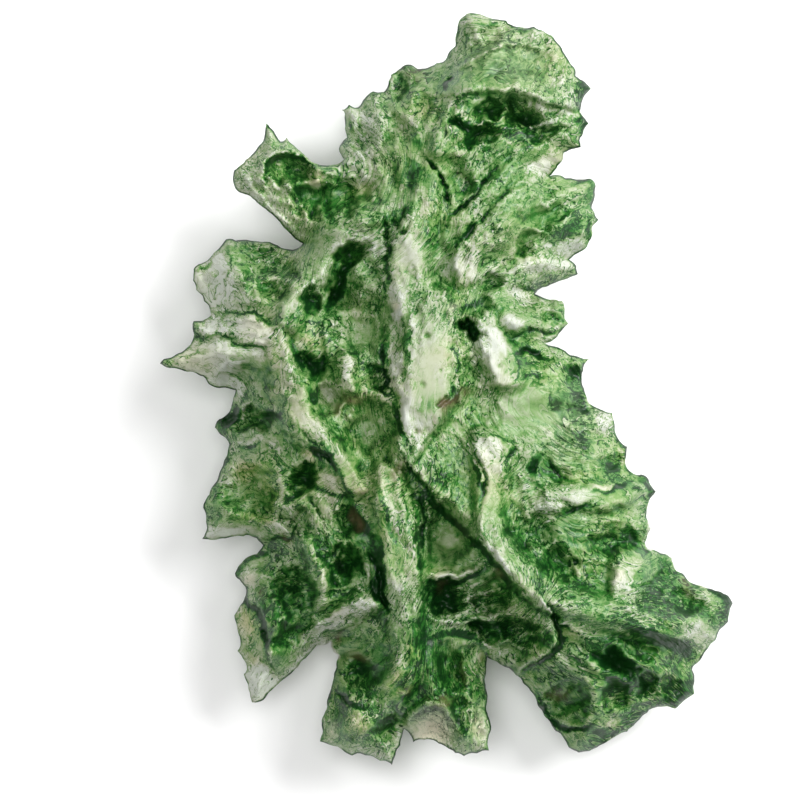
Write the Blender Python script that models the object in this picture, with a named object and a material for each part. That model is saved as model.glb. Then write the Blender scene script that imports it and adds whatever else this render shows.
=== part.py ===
"""A moldavite, a deeply etched piece of natural green glass, as one closed solid.

The stone lies flat with its broad face up. Its ragged outline is a ring of lobes, each at its own
height. A top sheet and an underside sheet spring from that outline: the top carries the raised
ribs, the scooped hollows and the overlapping steps, and the underside ends in a few worn flats
that it rests on. Sizes below are in millimetres, and the solid is made in metres.
"""

import math

import bpy
import numpy as np
from mathutils import Vector, noise
from mathutils.geometry import delaunay_2d_cdt

MILLIMETRE = 0.001

# Driving dimensions.
STONE_LENGTH = 37.5
STONE_HEIGHT = 10.4
MIDDLE_HEIGHT = 4.9
MIDDLE_REACH = 2.5
BODY_HALF_THICKNESS = 3.2
BODY_RISE = 1.7
RISE_POWER = 1.15
EDGE_HALF_THICKNESS = 0.3
EDGE_ROUNDING = 0.2
RELIEF_ONSET = 0.5
THINNEST = 0.5
UNDER_CLEARANCE = 0.6

# How the relief is shaped. A rib's foot is this many of its half widths out. A hollow falls from its
# lip by these two powers, and hollows that meet are blended by the third. The wander is how far
# noise of each size moves what is drawn, as pairs of size and reach.
RIB_FOOT = 1.7
HOLLOW_POWER = 2.0
HOLLOW_LIP = 1.5
HOLLOW_BLEND = 2.5
STEP_WALL = 0.3
HOLLOW_WANDER = ((1.9, 0.4), (0.7, 0.36))
LINE_WANDER = ((1.9, 0.15), (0.7, 0.15))
WANDER_SEED = 14

# How the edge's own height wavers, and how it is carried inwards.
RIM_SMOOTHING = 0.9
RIM_WAVER = 0.5
WAVER_SIZE = 1.6
HEIGHT_BLUR = 0.05
HEIGHT_FALL = 1.5

# How finely the faceted solid follows the shape.
MESH_SPACING = 0.6
RIM_CLEARANCE = 0.3
ARC_STEPS = 3
CURVE_STEPS = 5
BLOCK = 4096
SAME_POINT = 1e-7

# The outline, clockwise seen from above, as lobes: a name, the height of its edge above the
# ground, how full it is behind that edge (1 is a blunt margin, less is a thin blade), and its
# corners. A corner is x, y and the bow of the edge that leaves it, as a share of that edge's
# length, outwards where positive.
LOBES = (
    ("crown", 5.9, 0.85, (
        (0.45, 17.2, 0), (0.55, 18.15, 0.1), (1.05, 18.75, 0.05), (1.9, 18.65, -0.05),
        (3.0, 18.45, -0.1), (3.5, 18.15, 0), (4.35, 18.1, 0), (5.1, 17.75, 0.1), (5.8, 16.9, 0),
        (6.35, 16.1, 0), (6.45, 15.7, 0.1), (7.15, 15.05, -0.1), (6.7, 13.9, 0),
        (7.1, 13.3, 0), (6.65, 12.6, -0.1), (6.65, 12.15, -0.1), (5.85, 11.85, 0.1),
        (5.5, 11.25, 0.1), (5.15, 10.7, 0.1),
    )),
    ("upper right lobe", 4.6, 0.9, (
        (5.95, 10.6, 0), (7.2, 10.6, 0.15), (7.5, 10.2, 0), (7.45, 9.5, -0.05),
        (7.3, 9.15, -0.1), (7.6, 8.55, -0.05), (7.25, 8.05, 0.1), (7.15, 7.45, 0.1),
        (6.85, 6.95, 0), (6.15, 6.55, 0.05),
    )),
    ("right splinter", 3.5, 0.5, (
        (6.55, 6.25, -0.1), (6.6, 5.85, 0), (6.2, 5.7, 0.05), (5.35, 5.4, -0.05),
        (4.6, 5.0, -0.15), (4.5, 4.85, 0),
    )),
    ("small right lobe", 5.2, 0.9, (
        (5.05, 4.6, -0.05), (5.8, 4.5, 0.1), (5.95, 4.05, -0.1), (6.05, 3.35, 0),
        (5.6, 2.85, 0.15), (5.0, 2.35, 0),
    )),
    ("right shoulder", 5.6, 1.2, (
        (5.7, 2.1, -0.05), (6.35, 1.75, -0.1), (7.15, 1.6, -0.15), (6.85, 1.0, -0.1),
        (6.8, 0.25, 0), (7.1, -0.5, -0.1), (7.55, -0.9, -0.05), (8.3, -1.1, 0),
    )),
    ("right lobe", 4.9, 1.0, (
        (8.4, -1.9, -0.1), (8.65, -2.5, -0.05), (9.05, -2.8, 0), (8.95, -3.25, -0.1),
        (8.95, -3.75, -0.1), (9.25, -4.1, -0.1), (9.75, -4.15, 0.1), (10.15, -4.6, -0.05),
        (10.45, -5.05, 0), (10.15, -5.55, -0.1), (10.0, -6.1, -0.1), (10.05, -6.5, 0),
        (10.25, -6.9, 0), (9.95, -7.6, 0),
    )),
    ("lower right lobe", 3.4, 0.95, (
        (10.1, -7.9, -0.05), (10.9, -8.15, 0.05), (11.4, -8.35, -0.15), (11.85, -9.2, -0.1),
        (12.65, -9.75, 0), (13.5, -10.0, 0.05), (14.05, -10.2, 0.1), (14.35, -10.65, 0),
        (14.15, -11.6, 0), (13.75, -11.95, 0), (13.5, -12.5, 0), (12.95, -13.15, 0),
        (12.6, -13.7, -0.1), (12.4, -14.0, 0.05), (12.5, -14.55, 0), (12.45, -15.2, 0),
        (11.95, -15.6, 0.1), (11.5, -15.95, -0.1), (10.8, -15.85, -0.15),
        (10.1, -16.15, -0.05), (9.65, -16.45, -0.05), (9.1, -17.1, -0.05), (8.2, -17.5, 0),
        (7.45, -17.95, 0.05), (6.65, -18.2, 0.05), (6.2, -17.85, -0.1), (5.5, -17.05, 0),
        (4.95, -16.4, 0), (4.5, -15.45, 0), (3.85, -14.45, 0),
    )),
    ("middle fin", 5.0, 0.9, (
        (3.45, -14.25, 0), (3.15, -13.9, 0.05), (2.55, -13.55, 0.05), (2.05, -13.3, -0.05),
    )),
    ("right foot", 4.2, 0.9, (
        (2.0, -15.0, 0), (2.1, -16.25, 0.05), (2.25, -17.1, -0.1), (2.15, -18.0, 0),
        (1.55, -18.1, -0.1), (0.9, -18.3, -0.1), (0.45, -18.15, -0.1), (-0.4, -17.7, -0.15),
        (-1.1, -17.5, -0.1), (-1.65, -17.6, -0.1), (-2.1, -16.9, -0.1),
    )),
    ("left foot", 4.0, 1.0, (
        (-2.25, -17.75, -0.05), (-2.7, -18.75, -0.15), (-3.3, -18.5, -0.1),
        (-4.05, -18.25, -0.1), (-4.7, -18.25, 0.1), (-5.4, -17.8, 0), (-6.3, -17.55, -0.05),
        (-6.2, -16.5, -0.05), (-5.95, -15.5, 0), (-5.65, -14.4, 0), (-5.4, -13.25, 0.2),
        (-5.75, -12.55, 0.15),
    )),
    ("lower left lobe", 3.3, 0.75, (
        (-6.45, -12.75, 0), (-7.15, -13.5, 0), (-7.95, -14.35, -0.05), (-8.7, -15.05, 0.05),
        (-9.3, -15.55, 0.1), (-9.7, -15.6, 0), (-9.9, -15.0, 0), (-10.15, -14.2, -0.15),
        (-10.05, -13.7, 0), (-10.45, -13.05, -0.1), (-10.4, -12.25, 0), (-10.6, -11.25, 0),
        (-10.25, -10.6, -0.1), (-10.05, -10.0, -0.1), (-10.35, -9.5, 0.1),
        (-10.55, -9.15, 0), (-10.15, -8.5, 0.05), (-9.5, -8.15, 0), (-9.2, -7.75, 0),
        (-9.5, -7.4, -0.1),
    )),
    ("left lobe", 4.5, 1.1, (
        (-10.15, -7.3, -0.05), (-11.05, -7.35, 0.05), (-11.75, -7.45, -0.1),
        (-12.15, -7.4, -0.1), (-11.95, -7.0, -0.05), (-12.15, -5.85, 0.1), (-11.8, -5.2, 0),
        (-11.3, -4.15, -0.05), (-10.95, -3.1, -0.05), (-10.85, -2.7, -0.1),
    )),
    ("left fold", 3.1, 1.2, (
        (-11.2, -2.25, 0), (-11.6, -1.85, 0.1), (-11.35, -1.45, -0.05), (-10.9, -1.1, -0.05),
        (-10.65, -0.35, 0), (-10.5, 0.05, 0),
    )),
    ("left spike", 5.1, 0.8, (
        (-11.2, 0.1, 0.05), (-11.85, 0.35, 0), (-12.15, 0.7, -0.05), (-12.9, 0.95, -0.05),
        (-13.8, 1.15, 0.05), (-14.3, 1.35, 0.15), (-14.1, 1.6, -0.05), (-13.35, 1.85, -0.1),
        (-12.85, 2.2, -0.1), (-12.6, 2.65, -0.1), (-12.65, 3.1, 0.1), (-12.6, 3.45, 0.05),
        (-12.15, 3.5, 0), (-11.75, 3.8, -0.1),
    )),
    ("upper left lobe", 4.0, 0.8, (
        (-12.05, 4.5, -0.1), (-12.5, 5.05, -0.05), (-12.65, 5.5, -0.05), (-12.65, 6.1, 0.05),
        (-12.4, 6.35, -0.1), (-11.9, 6.55, 0), (-11.4, 7.1, 0.05), (-11.0, 7.55, 0.1),
        (-10.55, 7.45, 0.05), (-9.7, 7.5, 0), (-9.0, 7.45, 0.1), (-8.3, 7.15, -0.05),
        (-7.8, 7.05, -0.15), (-7.15, 7.35, 0),
    )),
    ("horn", 6.2, 0.85, (
        (-7.55, 7.6, 0), (-8.1, 8.15, 0), (-8.8, 8.85, 0), (-9.3, 9.3, 0),
        (-9.65, 9.55, -0.1), (-10.25, 9.9, 0.1), (-10.6, 10.45, 0.1), (-10.55, 10.95, -0.05),
        (-10.0, 11.5, -0.1), (-9.35, 12.1, -0.1), (-9.05, 12.75, 0), (-8.95, 13.3, 0.05),
        (-8.6, 12.9, -0.05), (-8.25, 12.4, -0.2), (-7.95, 12.6, -0.05), (-7.5, 12.1, 0),
        (-6.9, 11.6, -0.1), (-6.3, 11.25, 0), (-5.5, 11.3, -0.15),
    )),
    ("top left shoulder", 4.4, 1.0, (
        (-5.1, 11.55, 0), (-5.3, 11.95, 0.1), (-5.2, 12.4, 0.1), (-4.95, 12.65, 0),
        (-5.05, 13.4, -0.1), (-5.25, 14.05, -0.1), (-4.85, 14.3, -0.15), (-4.4, 14.2, -0.1),
        (-4.0, 14.75, 0.1), (-3.65, 14.95, 0), (-3.1, 14.9, -0.1), (-2.9, 15.5, 0),
        (-2.8, 15.85, 0), (-2.25, 16.1, 0.1), (-1.75, 16.3, 0.1), (-1.4, 16.1, -0.1),
        (-0.9, 16.15, 0), (-0.5, 16.4, -0.1), (-0.05, 16.55, 0),
    )),
)

# Raised ribs on the top face. A point is x, y, the rib's half width and its rise. A flat of 0
# is a sharp crest, and near 1 it is a level-topped bank.
RIBS = (
    ("upper spine", 0.6, (
        (-0.9, 10.5, 0.42, 0.36), (-1.3, 8.9, 0.74, 0.79), (-1.9, 7.2, 0.95, 1.1),
        (-2, 5.4, 0.95, 1.1), (-1.4, 4.4, 1.1, 1.2),
    )),
    ("central bank", 0.8, (
        (-0.7, 3.6, 1.2, 1.3), (-0.7, 2.4, 1.3, 1.4), (-0.8, 0.9, 1.4, 1.4),
        (-1.1, -0.6, 1.1, 1.4), (-1.6, -2, 0.64, 1.2), (-2.2, -3.2, 0.53, 1.1),
    )),
    ("lower spine", 0.6, (
        (-2.9, -4.2, 0.64, 1.1), (-2.8, -5.6, 0.85, 1.3), (-2.4, -7.3, 0.95, 1.4),
        (-2.2, -9.2, 0.85, 1.4), (-2.2, -11, 0.74, 1.2), (-2.1, -13, 0.64, 0.94),
        (-2.5, -14.8, 0.64, 0.65), (-3.3, -16.2, 0.53, 0.36),
    )),
    ("left rib, top", 0.3, (
        (-1.8, 9.2, 0.53, 0.36), (-3.4, 8.7, 0.64, 0.65), (-4.9, 8, 0.74, 0.86),
        (-6.2, 7.3, 0.74, 0.94), (-6.9, 5.8, 0.74, 0.94), (-7.6, 4.6, 0.64, 0.94),
        (-7.8, 3.5, 0.64, 1),
    )),
    ("left rib, foot", 0.5, (
        (-8.6, 2.6, 0.53, 0.72), (-8.2, 1.4, 0.64, 1.1), (-7.7, 0, 0.85, 1.3),
        (-7.3, -1.4, 0.85, 1.4), (-6.2, -2.4, 0.64, 1.3), (-5.3, -3.5, 0.53, 1.2),
        (-4.5, -4.7, 0.53, 1),
    )),
    ("spike bank", 0.7, (
        (-8.5, 2.8, 0.42, 0.72), (-9.8, 2.95, 0.53, 0.79), (-11.2, 3.05, 0.42, 0.58),
        (-12.1, 3.2, 0.32, 0.29),
    )),
    ("spike crest", 0.2, (
        (-9.2, 1.6, 0.7, 0.6), (-11.5, 1.6, 0.7, 0.9), (-13.2, 1.5, 0.4, 0.5),
    )),
    ("long finger", 0.8, (
        (1.9, 3.3, 0.53, 0.94), (2.1, 2.4, 0.64, 1.1), (2.6, 1.6, 0.74, 1.1), (3, 0.9, 0.74, 0.94),
    )),
    ("right spine", 0.5, (
        (1.9, -2.6, 0.64, 0.94), (2.3, -3.6, 0.74, 1.1), (2.1, -5, 0.64, 1.1),
        (2.1, -6.6, 0.64, 1.1), (2.9, -8.1, 0.64, 1.2), (4.4, -9.4, 0.64, 1.2),
        (6, -10.4, 0.64, 1.2), (8, -11, 0.64, 1.2), (10, -11.5, 0.64, 1.1),
        (11.5, -11.7, 0.74, 0.94), (12.9, -12.2, 0.85, 0.58),
    )),
    ("right bank", 0.7, (
        (4.9, -5.5, 0.53, 0.58), (6.3, -5.3, 0.53, 0.72), (8, -5.3, 0.53, 0.72), (9.3, -5.1, 0.42, 0.43),
    )),
    ("diagonal rib, lower", 0.4, (
        (0.9, 5.6, 0.42, 0.5), (1.1, 6.8, 0.53, 0.72), (2.3, 8.1, 0.74, 0.86), (3.2, 9.3, 0.74, 0.86),
        (4.3, 10.3, 0.53, 0.72), (5, 10.9, 0.42, 0.36),
    )),
    ("diagonal rib, upper", 0.3, (
        (0, 7.6, 0.42, 0.43), (1.1, 8.7, 0.53, 0.72), (2.2, 9.8, 0.53, 0.72), (3.4, 10.9, 0.42, 0.5),
    )),
    ("splinter crest", 0.2, ((3.0, 5.2, 0.5, 0.6), (4.2, 5.9, 0.6, 0.8), (6.0, 6.1, 0.4, 0.4))),
    ("lower left rib", 0.2, (
        (-7.0, -12.6, 0.4, 0.9), (-6.2, -11.8, 0.5, 1.3), (-5.2, -11.2, 0.6, 1.5),
        (-4.2, -10.7, 0.6, 1.6), (-3.5, -10.7, 0.4, 1.2),
    )),
    ("bowl wall", 0.0, (
        (-7.0, -7.5, 0.4, 0.8), (-6.4, -8.6, 0.4, 1.1), (-6.1, -9.8, 0.4, 1.1), (-6.2, -10.7, 0.4, 0.8),
    )),
    ("white knob", 0.7, ((9.1, -8.6, 0.7, 1.1), (9.0, -9.6, 0.7, 1.2), (8.7, -10.3, 0.5, 1.0))),
    ("small right crest", 0.4, ((2.6, 4.4, 0.6, 0.9), (3.6, 3.7, 0.8, 1.1), (4.6, 3.9, 0.6, 0.6))),
    ("hollow boss", 0.4, ((-5.0, 1.6, 0.5, 0.9), (-4.9, 0.3, 0.5, 0.9))),
    ("crown rib", 0.2, (
        (-0.3, 12.0, 0.6, 0.7), (0.6, 14.6, 0.7, 0.8), (1.4, 16.0, 0.6, 0.6), (2.8, 16.9, 0.5, 0.5),
    )),
    ("left foot rib", 0.2, ((-5.3, -14.0, 0.4, 0.5), (-4.6, -16.4, 0.7, 0.8), (-4.4, -17.6, 0.5, 0.3))),
)

# Scooped hollows in the top face: x, y, the two half widths, the turn in degrees, the depth.
HOLLOWS = (
    ("crown basin", 4.5, 16.3, 1.9, 1.3, -20, 1.0),
    ("crown top dish", 2.3, 17.6, 1.2, 0.6, -8, 0.7),
    ("crown dark hollow", 3.7, 13.7, 1.5, 0.8, -15, 2.4),
    ("crown inner hollow", 2.1, 13.9, 0.9, 0.6, 10, 1.9),
    ("crown lower hollow", 1.7, 12.6, 1.0, 0.7, 20, 1.6),
    ("crown tail hollow", 5.2, 12.9, 1.4, 0.6, 20, 1.1),
    ("horn hollow, left", -7.6, 10.8, 1.3, 0.9, -15, 2.3),
    ("horn hollow, middle", -6.4, 9.6, 1.5, 1.2, 0, 2.3),
    ("horn hollow, right", -4.9, 9.7, 1.6, 1.2, 0, 1.7),
    ("shoulder scoop, left", -4.2, 12.6, 0.8, 1.0, 10, 0.9),
    ("shoulder scoop, middle", -2.4, 12.8, 0.9, 1.2, 10, 0.8),
    ("shoulder scoop, top", -2.2, 15.0, 0.8, 0.8, 0, 1.2),
    ("shoulder scoop, right", -1.0, 14.2, 0.8, 0.9, 20, 0.6),
    ("wedge facet", 0.6, 10.4, 0.9, 1.1, -20, 0.8),
    ("upper left dish", -9.0, 6.4, 1.9, 1.0, -5, 1.6),
    ("upper left dish, inner", -8.9, 5.0, 1.3, 0.9, -30, 1.1),
    ("upper left tip dish", -11.7, 5.4, 0.8, 1.1, 20, 0.7),
    ("long hollow, head", -4.9, 6.6, 1.2, 0.9, 20, 1.8),
    ("long hollow, neck", -5.3, 4.7, 1.4, 1.5, -20, 1.9),
    ("long hollow, cup", -6.7, 4.5, 0.8, 0.8, 0, 1.7),
    ("long hollow, middle", -4.2, 3.4, 1.6, 1.9, 0, 1.6),
    ("long hollow, left pit", -6.5, 1.4, 0.8, 1.1, 10, 1.2),
    ("long hollow, foot", -5.9, -0.4, 0.9, 1.0, 20, 1.0),
    ("long hollow, pool", -3.9, -1.8, 1.6, 1.6, 0, 1.5),
    ("spine shoulder scoop", -3.4, 0.6, 0.7, 0.9, 0, 0.9),
    ("spike scoop", -10.6, 0.9, 1.3, 0.6, -10, 0.8),
    ("fold cave", -10.8, -1.3, 0.7, 0.7, 40, 1.3),
    ("fold hollow", -9.5, -1.4, 1.2, 0.7, -10, 1.7),
    ("left bowl", -9.9, -4.9, 1.6, 1.6, 0, 1.9),
    ("left dark hollow", -7.2, -4.4, 0.9, 1.0, 0, 1.7),
    ("left bowl, inner", -7.4, -6.6, 1.0, 0.7, -20, 1.2),
    ("lower left pocket", -4.9, -8.6, 1.2, 1.0, 0, 2.2),
    ("lower left pocket, top", -5.1, -6.5, 1.0, 1.0, 0, 1.2),
    ("lower left bowl", -7.6, -9.9, 1.4, 1.5, 0, 2.1),
    ("lower left bowl, foot", -8.2, -12.0, 0.9, 0.8, -20, 1.4),
    ("lower left tip dish", -9.2, -13.8, 0.8, 1.2, 20, 0.6),
    ("left foot hollow", -4.3, -14.2, 1.0, 1.2, 0, 1.4),
    ("left foot dish", -2.9, -16.8, 0.8, 0.8, 0, 1.2),
    ("right foot channel", 0.3, -13.9, 1.0, 1.6, 0, 1.4),
    ("right foot channel, end", 0.6, -16.2, 0.7, 1.2, 10, 1.2),
    ("beige facet", -0.7, -17.0, 1.3, 1.2, 0, 1.3),
    ("right foot facet", 1.7, -16.8, 0.5, 1.4, 0, 0.8),
    ("centre pool", -0.1, -7.3, 1.5, 2.0, 10, 2.2),
    ("pool foot fold", 0.0, -10.2, 1.5, 0.8, -5, 2.2),
    ("fin scoop, top", 2.3, -10.3, 1.2, 1.0, -30, 1.7),
    ("fin scoop, middle", 3.4, -11.8, 1.4, 0.9, -25, 1.6),
    ("fin scoop, foot", 1.7, -12.0, 1.0, 0.6, -20, 1.5),
    ("fin scoop, tip", 3.2, -13.1, 0.9, 0.6, -30, 1.0),
    ("lower right pit", 8.4, -13.5, 1.6, 0.8, -25, 1.9),
    ("lower right dark hollow", 6.0, -15.6, 1.3, 1.4, -30, 1.9),
    ("lower right green dish", 8.5, -15.2, 1.1, 0.9, 0, 1.4),
    ("lower right cup", 10.0, -14.8, 0.7, 0.8, 0, 1.2),
    ("lower right end cup", 11.2, -14.9, 0.7, 0.8, 0, 1.0),
    ("lower right arm dish", 12.2, -10.5, 1.2, 0.6, -20, 1.1),
    ("lower right arm scoop", 10.8, -9.4, 0.7, 0.8, 0, 0.8),
    ("lower right band scoop", 9.6, -12.7, 1.6, 0.6, -20, 1.0),
    ("shoulder rim pit, top", 6.2, 0.7, 0.7, 1.0, 0, 1.2),
    ("shoulder rim pit, foot", 6.5, -0.6, 0.9, 0.5, 0, 1.1),
    ("right lobe rim pit", 8.3, -3.3, 0.8, 0.8, -30, 1.0),
    ("right slope dish", 4.7, -1.6, 2.4, 1.5, 0, 0.4),
    ("right slope dish, top", 1.8, -0.8, 1.2, 1.3, 0, 0.4),
    ("right slope dish, side", 7.2, -2.2, 1.2, 1.1, 0, 0.4),
    ("right slope dish, foot", 5.4, -4.1, 1.3, 0.7, -10, 0.5),
    ("right dark band", 8.2, -7.4, 1.7, 0.9, -5, 1.3),
    ("right dark dish", 4.2, -7.0, 1.3, 1.0, -20, 1.0),
    ("right dark dish, foot", 5.6, -8.3, 1.2, 0.7, -30, 1.1),
    ("finger hole", 1.1, 3.1, 0.4, 0.6, 10, 2.2),
    ("finger side scoop", 1.4, 1.2, 0.6, 1.0, 10, 0.4),
    ("small right dish", 5.2, 3.7, 0.8, 0.8, 30, 1.0),
    ("upper right dish", 5.1, 8.7, 1.6, 0.8, 20, 1.0),
    ("upper right scoop", 3.9, 7.2, 1.2, 0.6, 35, 1.1),
    ("spine flank scoop", -0.2, 5.7, 0.9, 1.3, 0, 0.7),
    ("notch scoop", 2.3, 5.3, 0.9, 0.7, 20, 0.9),
)

# Steps where one layer of glass overlaps the next. The left of the path, walking along it, is
# the raised side: the rise of the step, how far it fades out, and the path's points.
STEPS = (
    ("pool wall", 1.3, 2.6, (
        (-1.5, -4.3), (-0.9, -5.2), (0.0, -6.2), (0.9, -7.0), (1.7, -7.7), (2.4, -8.7), (3.1, -9.7),
        (4.1, -10.6), (5.3, -11.3),
    )),
    ("fin edge", 1.7, 2.2, ((3.7, -14.2), (4.7, -13.5), (5.35, -12.8), (5.65, -12.1), (5.2, -11.1))),
    ("lower left edge", 1.3, 1.8, ((-10.3, -10.4), (-9.6, -10.8), (-9.15, -11.6), (-8.9, -12.7))),
    ("crown ledge", 1.0, 1.6, ((1.0, 14.6), (2.5, 14.6), (3.8, 14.5), (4.6, 14.1), (5.6, 14.0), (6.7, 13.9))),
    ("horn lip", 0.9, 0.9, (
        (-8.9, 10.6), (-8.8, 11.2), (-8.3, 11.5), (-7.6, 11.6), (-6.8, 11.2), (-6.0, 11.0),
        (-5.3, 11.1),
    )),
)

# Hollows in the underside, which is guessed: x, y, the two half widths, the turn, the depth.
UNDER_HOLLOWS = (
    (-7.5, 9.6, 2.0, 1.3, -20, 1.0), (-3.2, 12.6, 1.8, 1.6, 10, 1.0), (2.2, 15.6, 2.0, 1.5, 30, 1.1),
    (4.6, 12.6, 1.6, 1.2, -10, 0.9), (-1.2, 8.6, 1.6, 1.6, 0, 1.5), (4.6, 8.4, 2.0, 1.3, 20, 0.9),
    (-9.6, 5.4, 2.0, 1.4, 10, 0.9), (-5.0, 5.0, 1.9, 1.5, -15, 1.6), (0.6, 4.4, 2.1, 1.7, 0, 1.8),
    (-10.2, 1.6, 1.8, 1.0, 5, 0.7), (-2.6, 0.9, 1.6, 2.0, 10, 1.7), (3.6, 0.3, 1.8, 1.9, 0, 1.6),
    (-9.2, -4.4, 1.8, 1.8, 0, 1.1), (-5.6, -3.0, 1.5, 1.6, 20, 1.6), (0.4, -3.6, 1.9, 1.6, 0, 1.9),
    (7.0, -3.2, 1.9, 1.6, 20, 1.3), (-8.0, -9.6, 1.6, 2.0, 0, 1.0), (-4.2, -8.4, 1.6, 1.7, 0, 1.6),
    (2.6, -8.0, 2.2, 1.6, -30, 1.8), (7.6, -7.8, 1.9, 1.3, 0, 1.2), (-4.2, -14.6, 1.3, 2.0, 0, 1.0),
    (0.2, -14.0, 1.5, 1.9, 0, 1.1), (5.6, -12.6, 1.8, 1.5, -30, 1.3), (10.6, -11.4, 1.9, 1.2, -20, 0.9),
    (8.2, -15.4, 1.9, 1.1, -15, 0.8), (-8.8, -13.4, 1.0, 1.4, 20, 0.6),
)

# Ribs on the underside, also guessed, which run from flat to flat.
UNDER_RIBS = (
    ("long under rib", 0.2, (
        (1.8, 16.0, 0.6, 0.5), (0.9, 11.0, 0.9, 1.0), (-1.4, 6.4, 0.8, 1.0), (-0.8, 1.0, 0.8, 0.9),
        (2.4, -5.9, 0.9, 1.0), (1.2, -11.0, 0.8, 1.0), (0.6, -16.0, 0.6, 0.5),
    )),
    ("left under rib", 0.2, (
        (-11.4, 2.2, 0.5, 0.4), (-6.6, 1.6, 0.9, 1.0), (-3.4, 3.6, 0.8, 1.0), (-1.4, 6.4, 0.7, 1.0),
    )),
    ("lower left under rib", 0.2, (
        (-9.2, -14.2, 0.5, 0.4), (-5.6, -11.2, 0.9, 1.0), (-3.0, -6.0, 0.8, 1.0),
        (-0.8, 1.0, 0.7, 0.9),
    )),
    ("lower right under rib", 0.2, (
        (2.4, -5.9, 0.9, 1.0), (6.0, -8.2, 0.8, 1.0), (9.6, -9.6, 0.9, 1.0), (12.8, -11.2, 0.5, 0.5),
    )),
    ("horn under rib", 0.2, ((-9.2, 11.2, 0.5, 0.4), (-5.0, 9.4, 0.8, 0.9), (-1.4, 6.4, 0.7, 1.0))),
    ("shoulder under rib", 0.2, ((7.8, -1.0, 0.5, 0.4), (3.6, 2.6, 0.8, 0.9), (-0.4, 2.6, 0.7, 0.9))),
)

# Worn flats that touch the ground: x, y, the radius of the flat, the reach of the boss above it.
FLATS = (
    (0.9, 11.0, 1.1, 3.2), (-6.6, 1.6, 1.2, 3.4), (2.4, -5.9, 1.3, 3.4),
    (-5.6, -11.2, 1.0, 3.0), (9.6, -9.6, 1.0, 3.2),
)

GLASS_GREEN = (0.22, 0.42, 0.16, 1.0)
GLASS_ROUGHNESS = 0.3


def clear_scene():
    """Removes every object that the scene starts with."""
    for thing in list(bpy.data.objects):
        bpy.data.objects.remove(thing, do_unlink=True)


def glass_material():
    """Bottle-green glass with an etched skin."""
    material = bpy.data.materials.new("moldavite glass")
    material.use_nodes = True
    shader = material.node_tree.nodes["Principled BSDF"]
    shader.inputs["Base Color"].default_value = GLASS_GREEN
    shader.inputs["Roughness"].default_value = GLASS_ROUGHNESS
    shader.inputs["Metallic"].default_value = 0.0
    return material


def outline():
    """The outline's points with their edge heights, bowed edges sampled, clockwise."""
    corners = [(x, y, height, full, bow) for _, height, full, lobe in LOBES for x, y, bow in lobe]
    points = []
    for corner, following in zip(corners, corners[1:] + corners[:1]):
        start, end, bow = np.array(corner[:4]), np.array(following[:4]), corner[4]
        outwards = np.array([start[1] - end[1], end[0] - start[0], 0.0, 0.0])
        steps = ARC_STEPS if bow else 1
        for t in np.arange(steps) / steps:
            points.append(start + t * (end - start) + 4 * t * (1 - t) * bow * outwards)
    return to_length(np.array(points))


def to_length(rim):
    """The outline at the stone's length, with the middle of its box at the origin."""
    low, high = rim[:, :2].min(axis=0), rim[:, :2].max(axis=0)
    rim[:, :2] = (rim[:, :2] - (low + high) / 2) * STONE_LENGTH / (high[1] - low[1])
    return rim


def run_together(rim):
    """The rim with its heights and fullness averaged along the edge, so that lobes join smoothly."""
    following = np.roll(rim[:, :2], -1, axis=0)
    length = np.linalg.norm(following - rim[:, :2], axis=1)
    place = np.concatenate([[0.0], np.cumsum(length)[:-1]])
    apart = np.abs(place[:, None] - place[None, :])
    apart = np.minimum(apart, length.sum() - apart)
    weight = np.exp(-0.5 * (apart / RIM_SMOOTHING) ** 2) * length
    smoothed = rim.copy()
    smoothed[:, 2:] = (weight @ rim[:, 2:]) / weight.sum(axis=1)[:, None]
    return smoothed


def wavering(rim):
    """The rim with a height that rises and falls along it."""
    rim[:, 2] += RIM_WAVER * roughly(rim, WAVER_SIZE)
    return rim


def roughly(places, size):
    """Smooth noise from -1 to 1 at each place, with lumps of that size."""
    return np.array([noise.noise(Vector((x / size, y / size, 0))) for x, y in places[:, :2]])


def wandered(places, wander):
    """The places shifted a little by noise, so that what is drawn with them has natural edges."""
    moved = places.copy()
    for size, reach in wander:
        shift = [noise.noise_vector(Vector((x / size, y / size, size))) for x, y in places]
        moved += reach * np.array(shift)[:, :2]
    return moved


def smooth_path(points):
    """A Catmull-Rom curve through the points, which may carry more values than x and y."""
    ends = np.vstack([2 * points[0] - points[1], points, 2 * points[-1] - points[-2]])
    curve = []
    for a, b, c, d in zip(ends, ends[1:], ends[2:], ends[3:]):
        for t in np.arange(CURVE_STEPS) / CURVE_STEPS:
            curve.append(0.5 * (
                2 * b + (c - a) * t + (2 * a - 5 * b + 4 * c - d) * t ** 2
                + (3 * b - a - 3 * c + d) * t ** 3
            ))
    return np.array(curve + [points[-1]])


def nearest_on_path(places, path):
    """For each place: its distance to the path, its side (left is positive), the path's values there."""
    distance = np.full(len(places), np.inf)
    side = np.ones(len(places))
    values = np.zeros((len(places), path.shape[1] - 2))
    for start, end in zip(path, path[1:]):
        run = end[:2] - start[:2]
        offset = places - start[:2]
        t = np.clip(offset @ run / (run @ run), 0, 1)
        gap = np.linalg.norm(offset - t[:, None] * run, axis=1)
        nearer = gap < distance
        distance[nearer] = gap[nearer]
        side[nearer] = np.sign(run[0] * offset[nearer, 1] - run[1] * offset[nearer, 0])
        values[nearer] = start[2:] + t[nearer, None] * (end[2:] - start[2:])
    return distance, side, values


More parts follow.
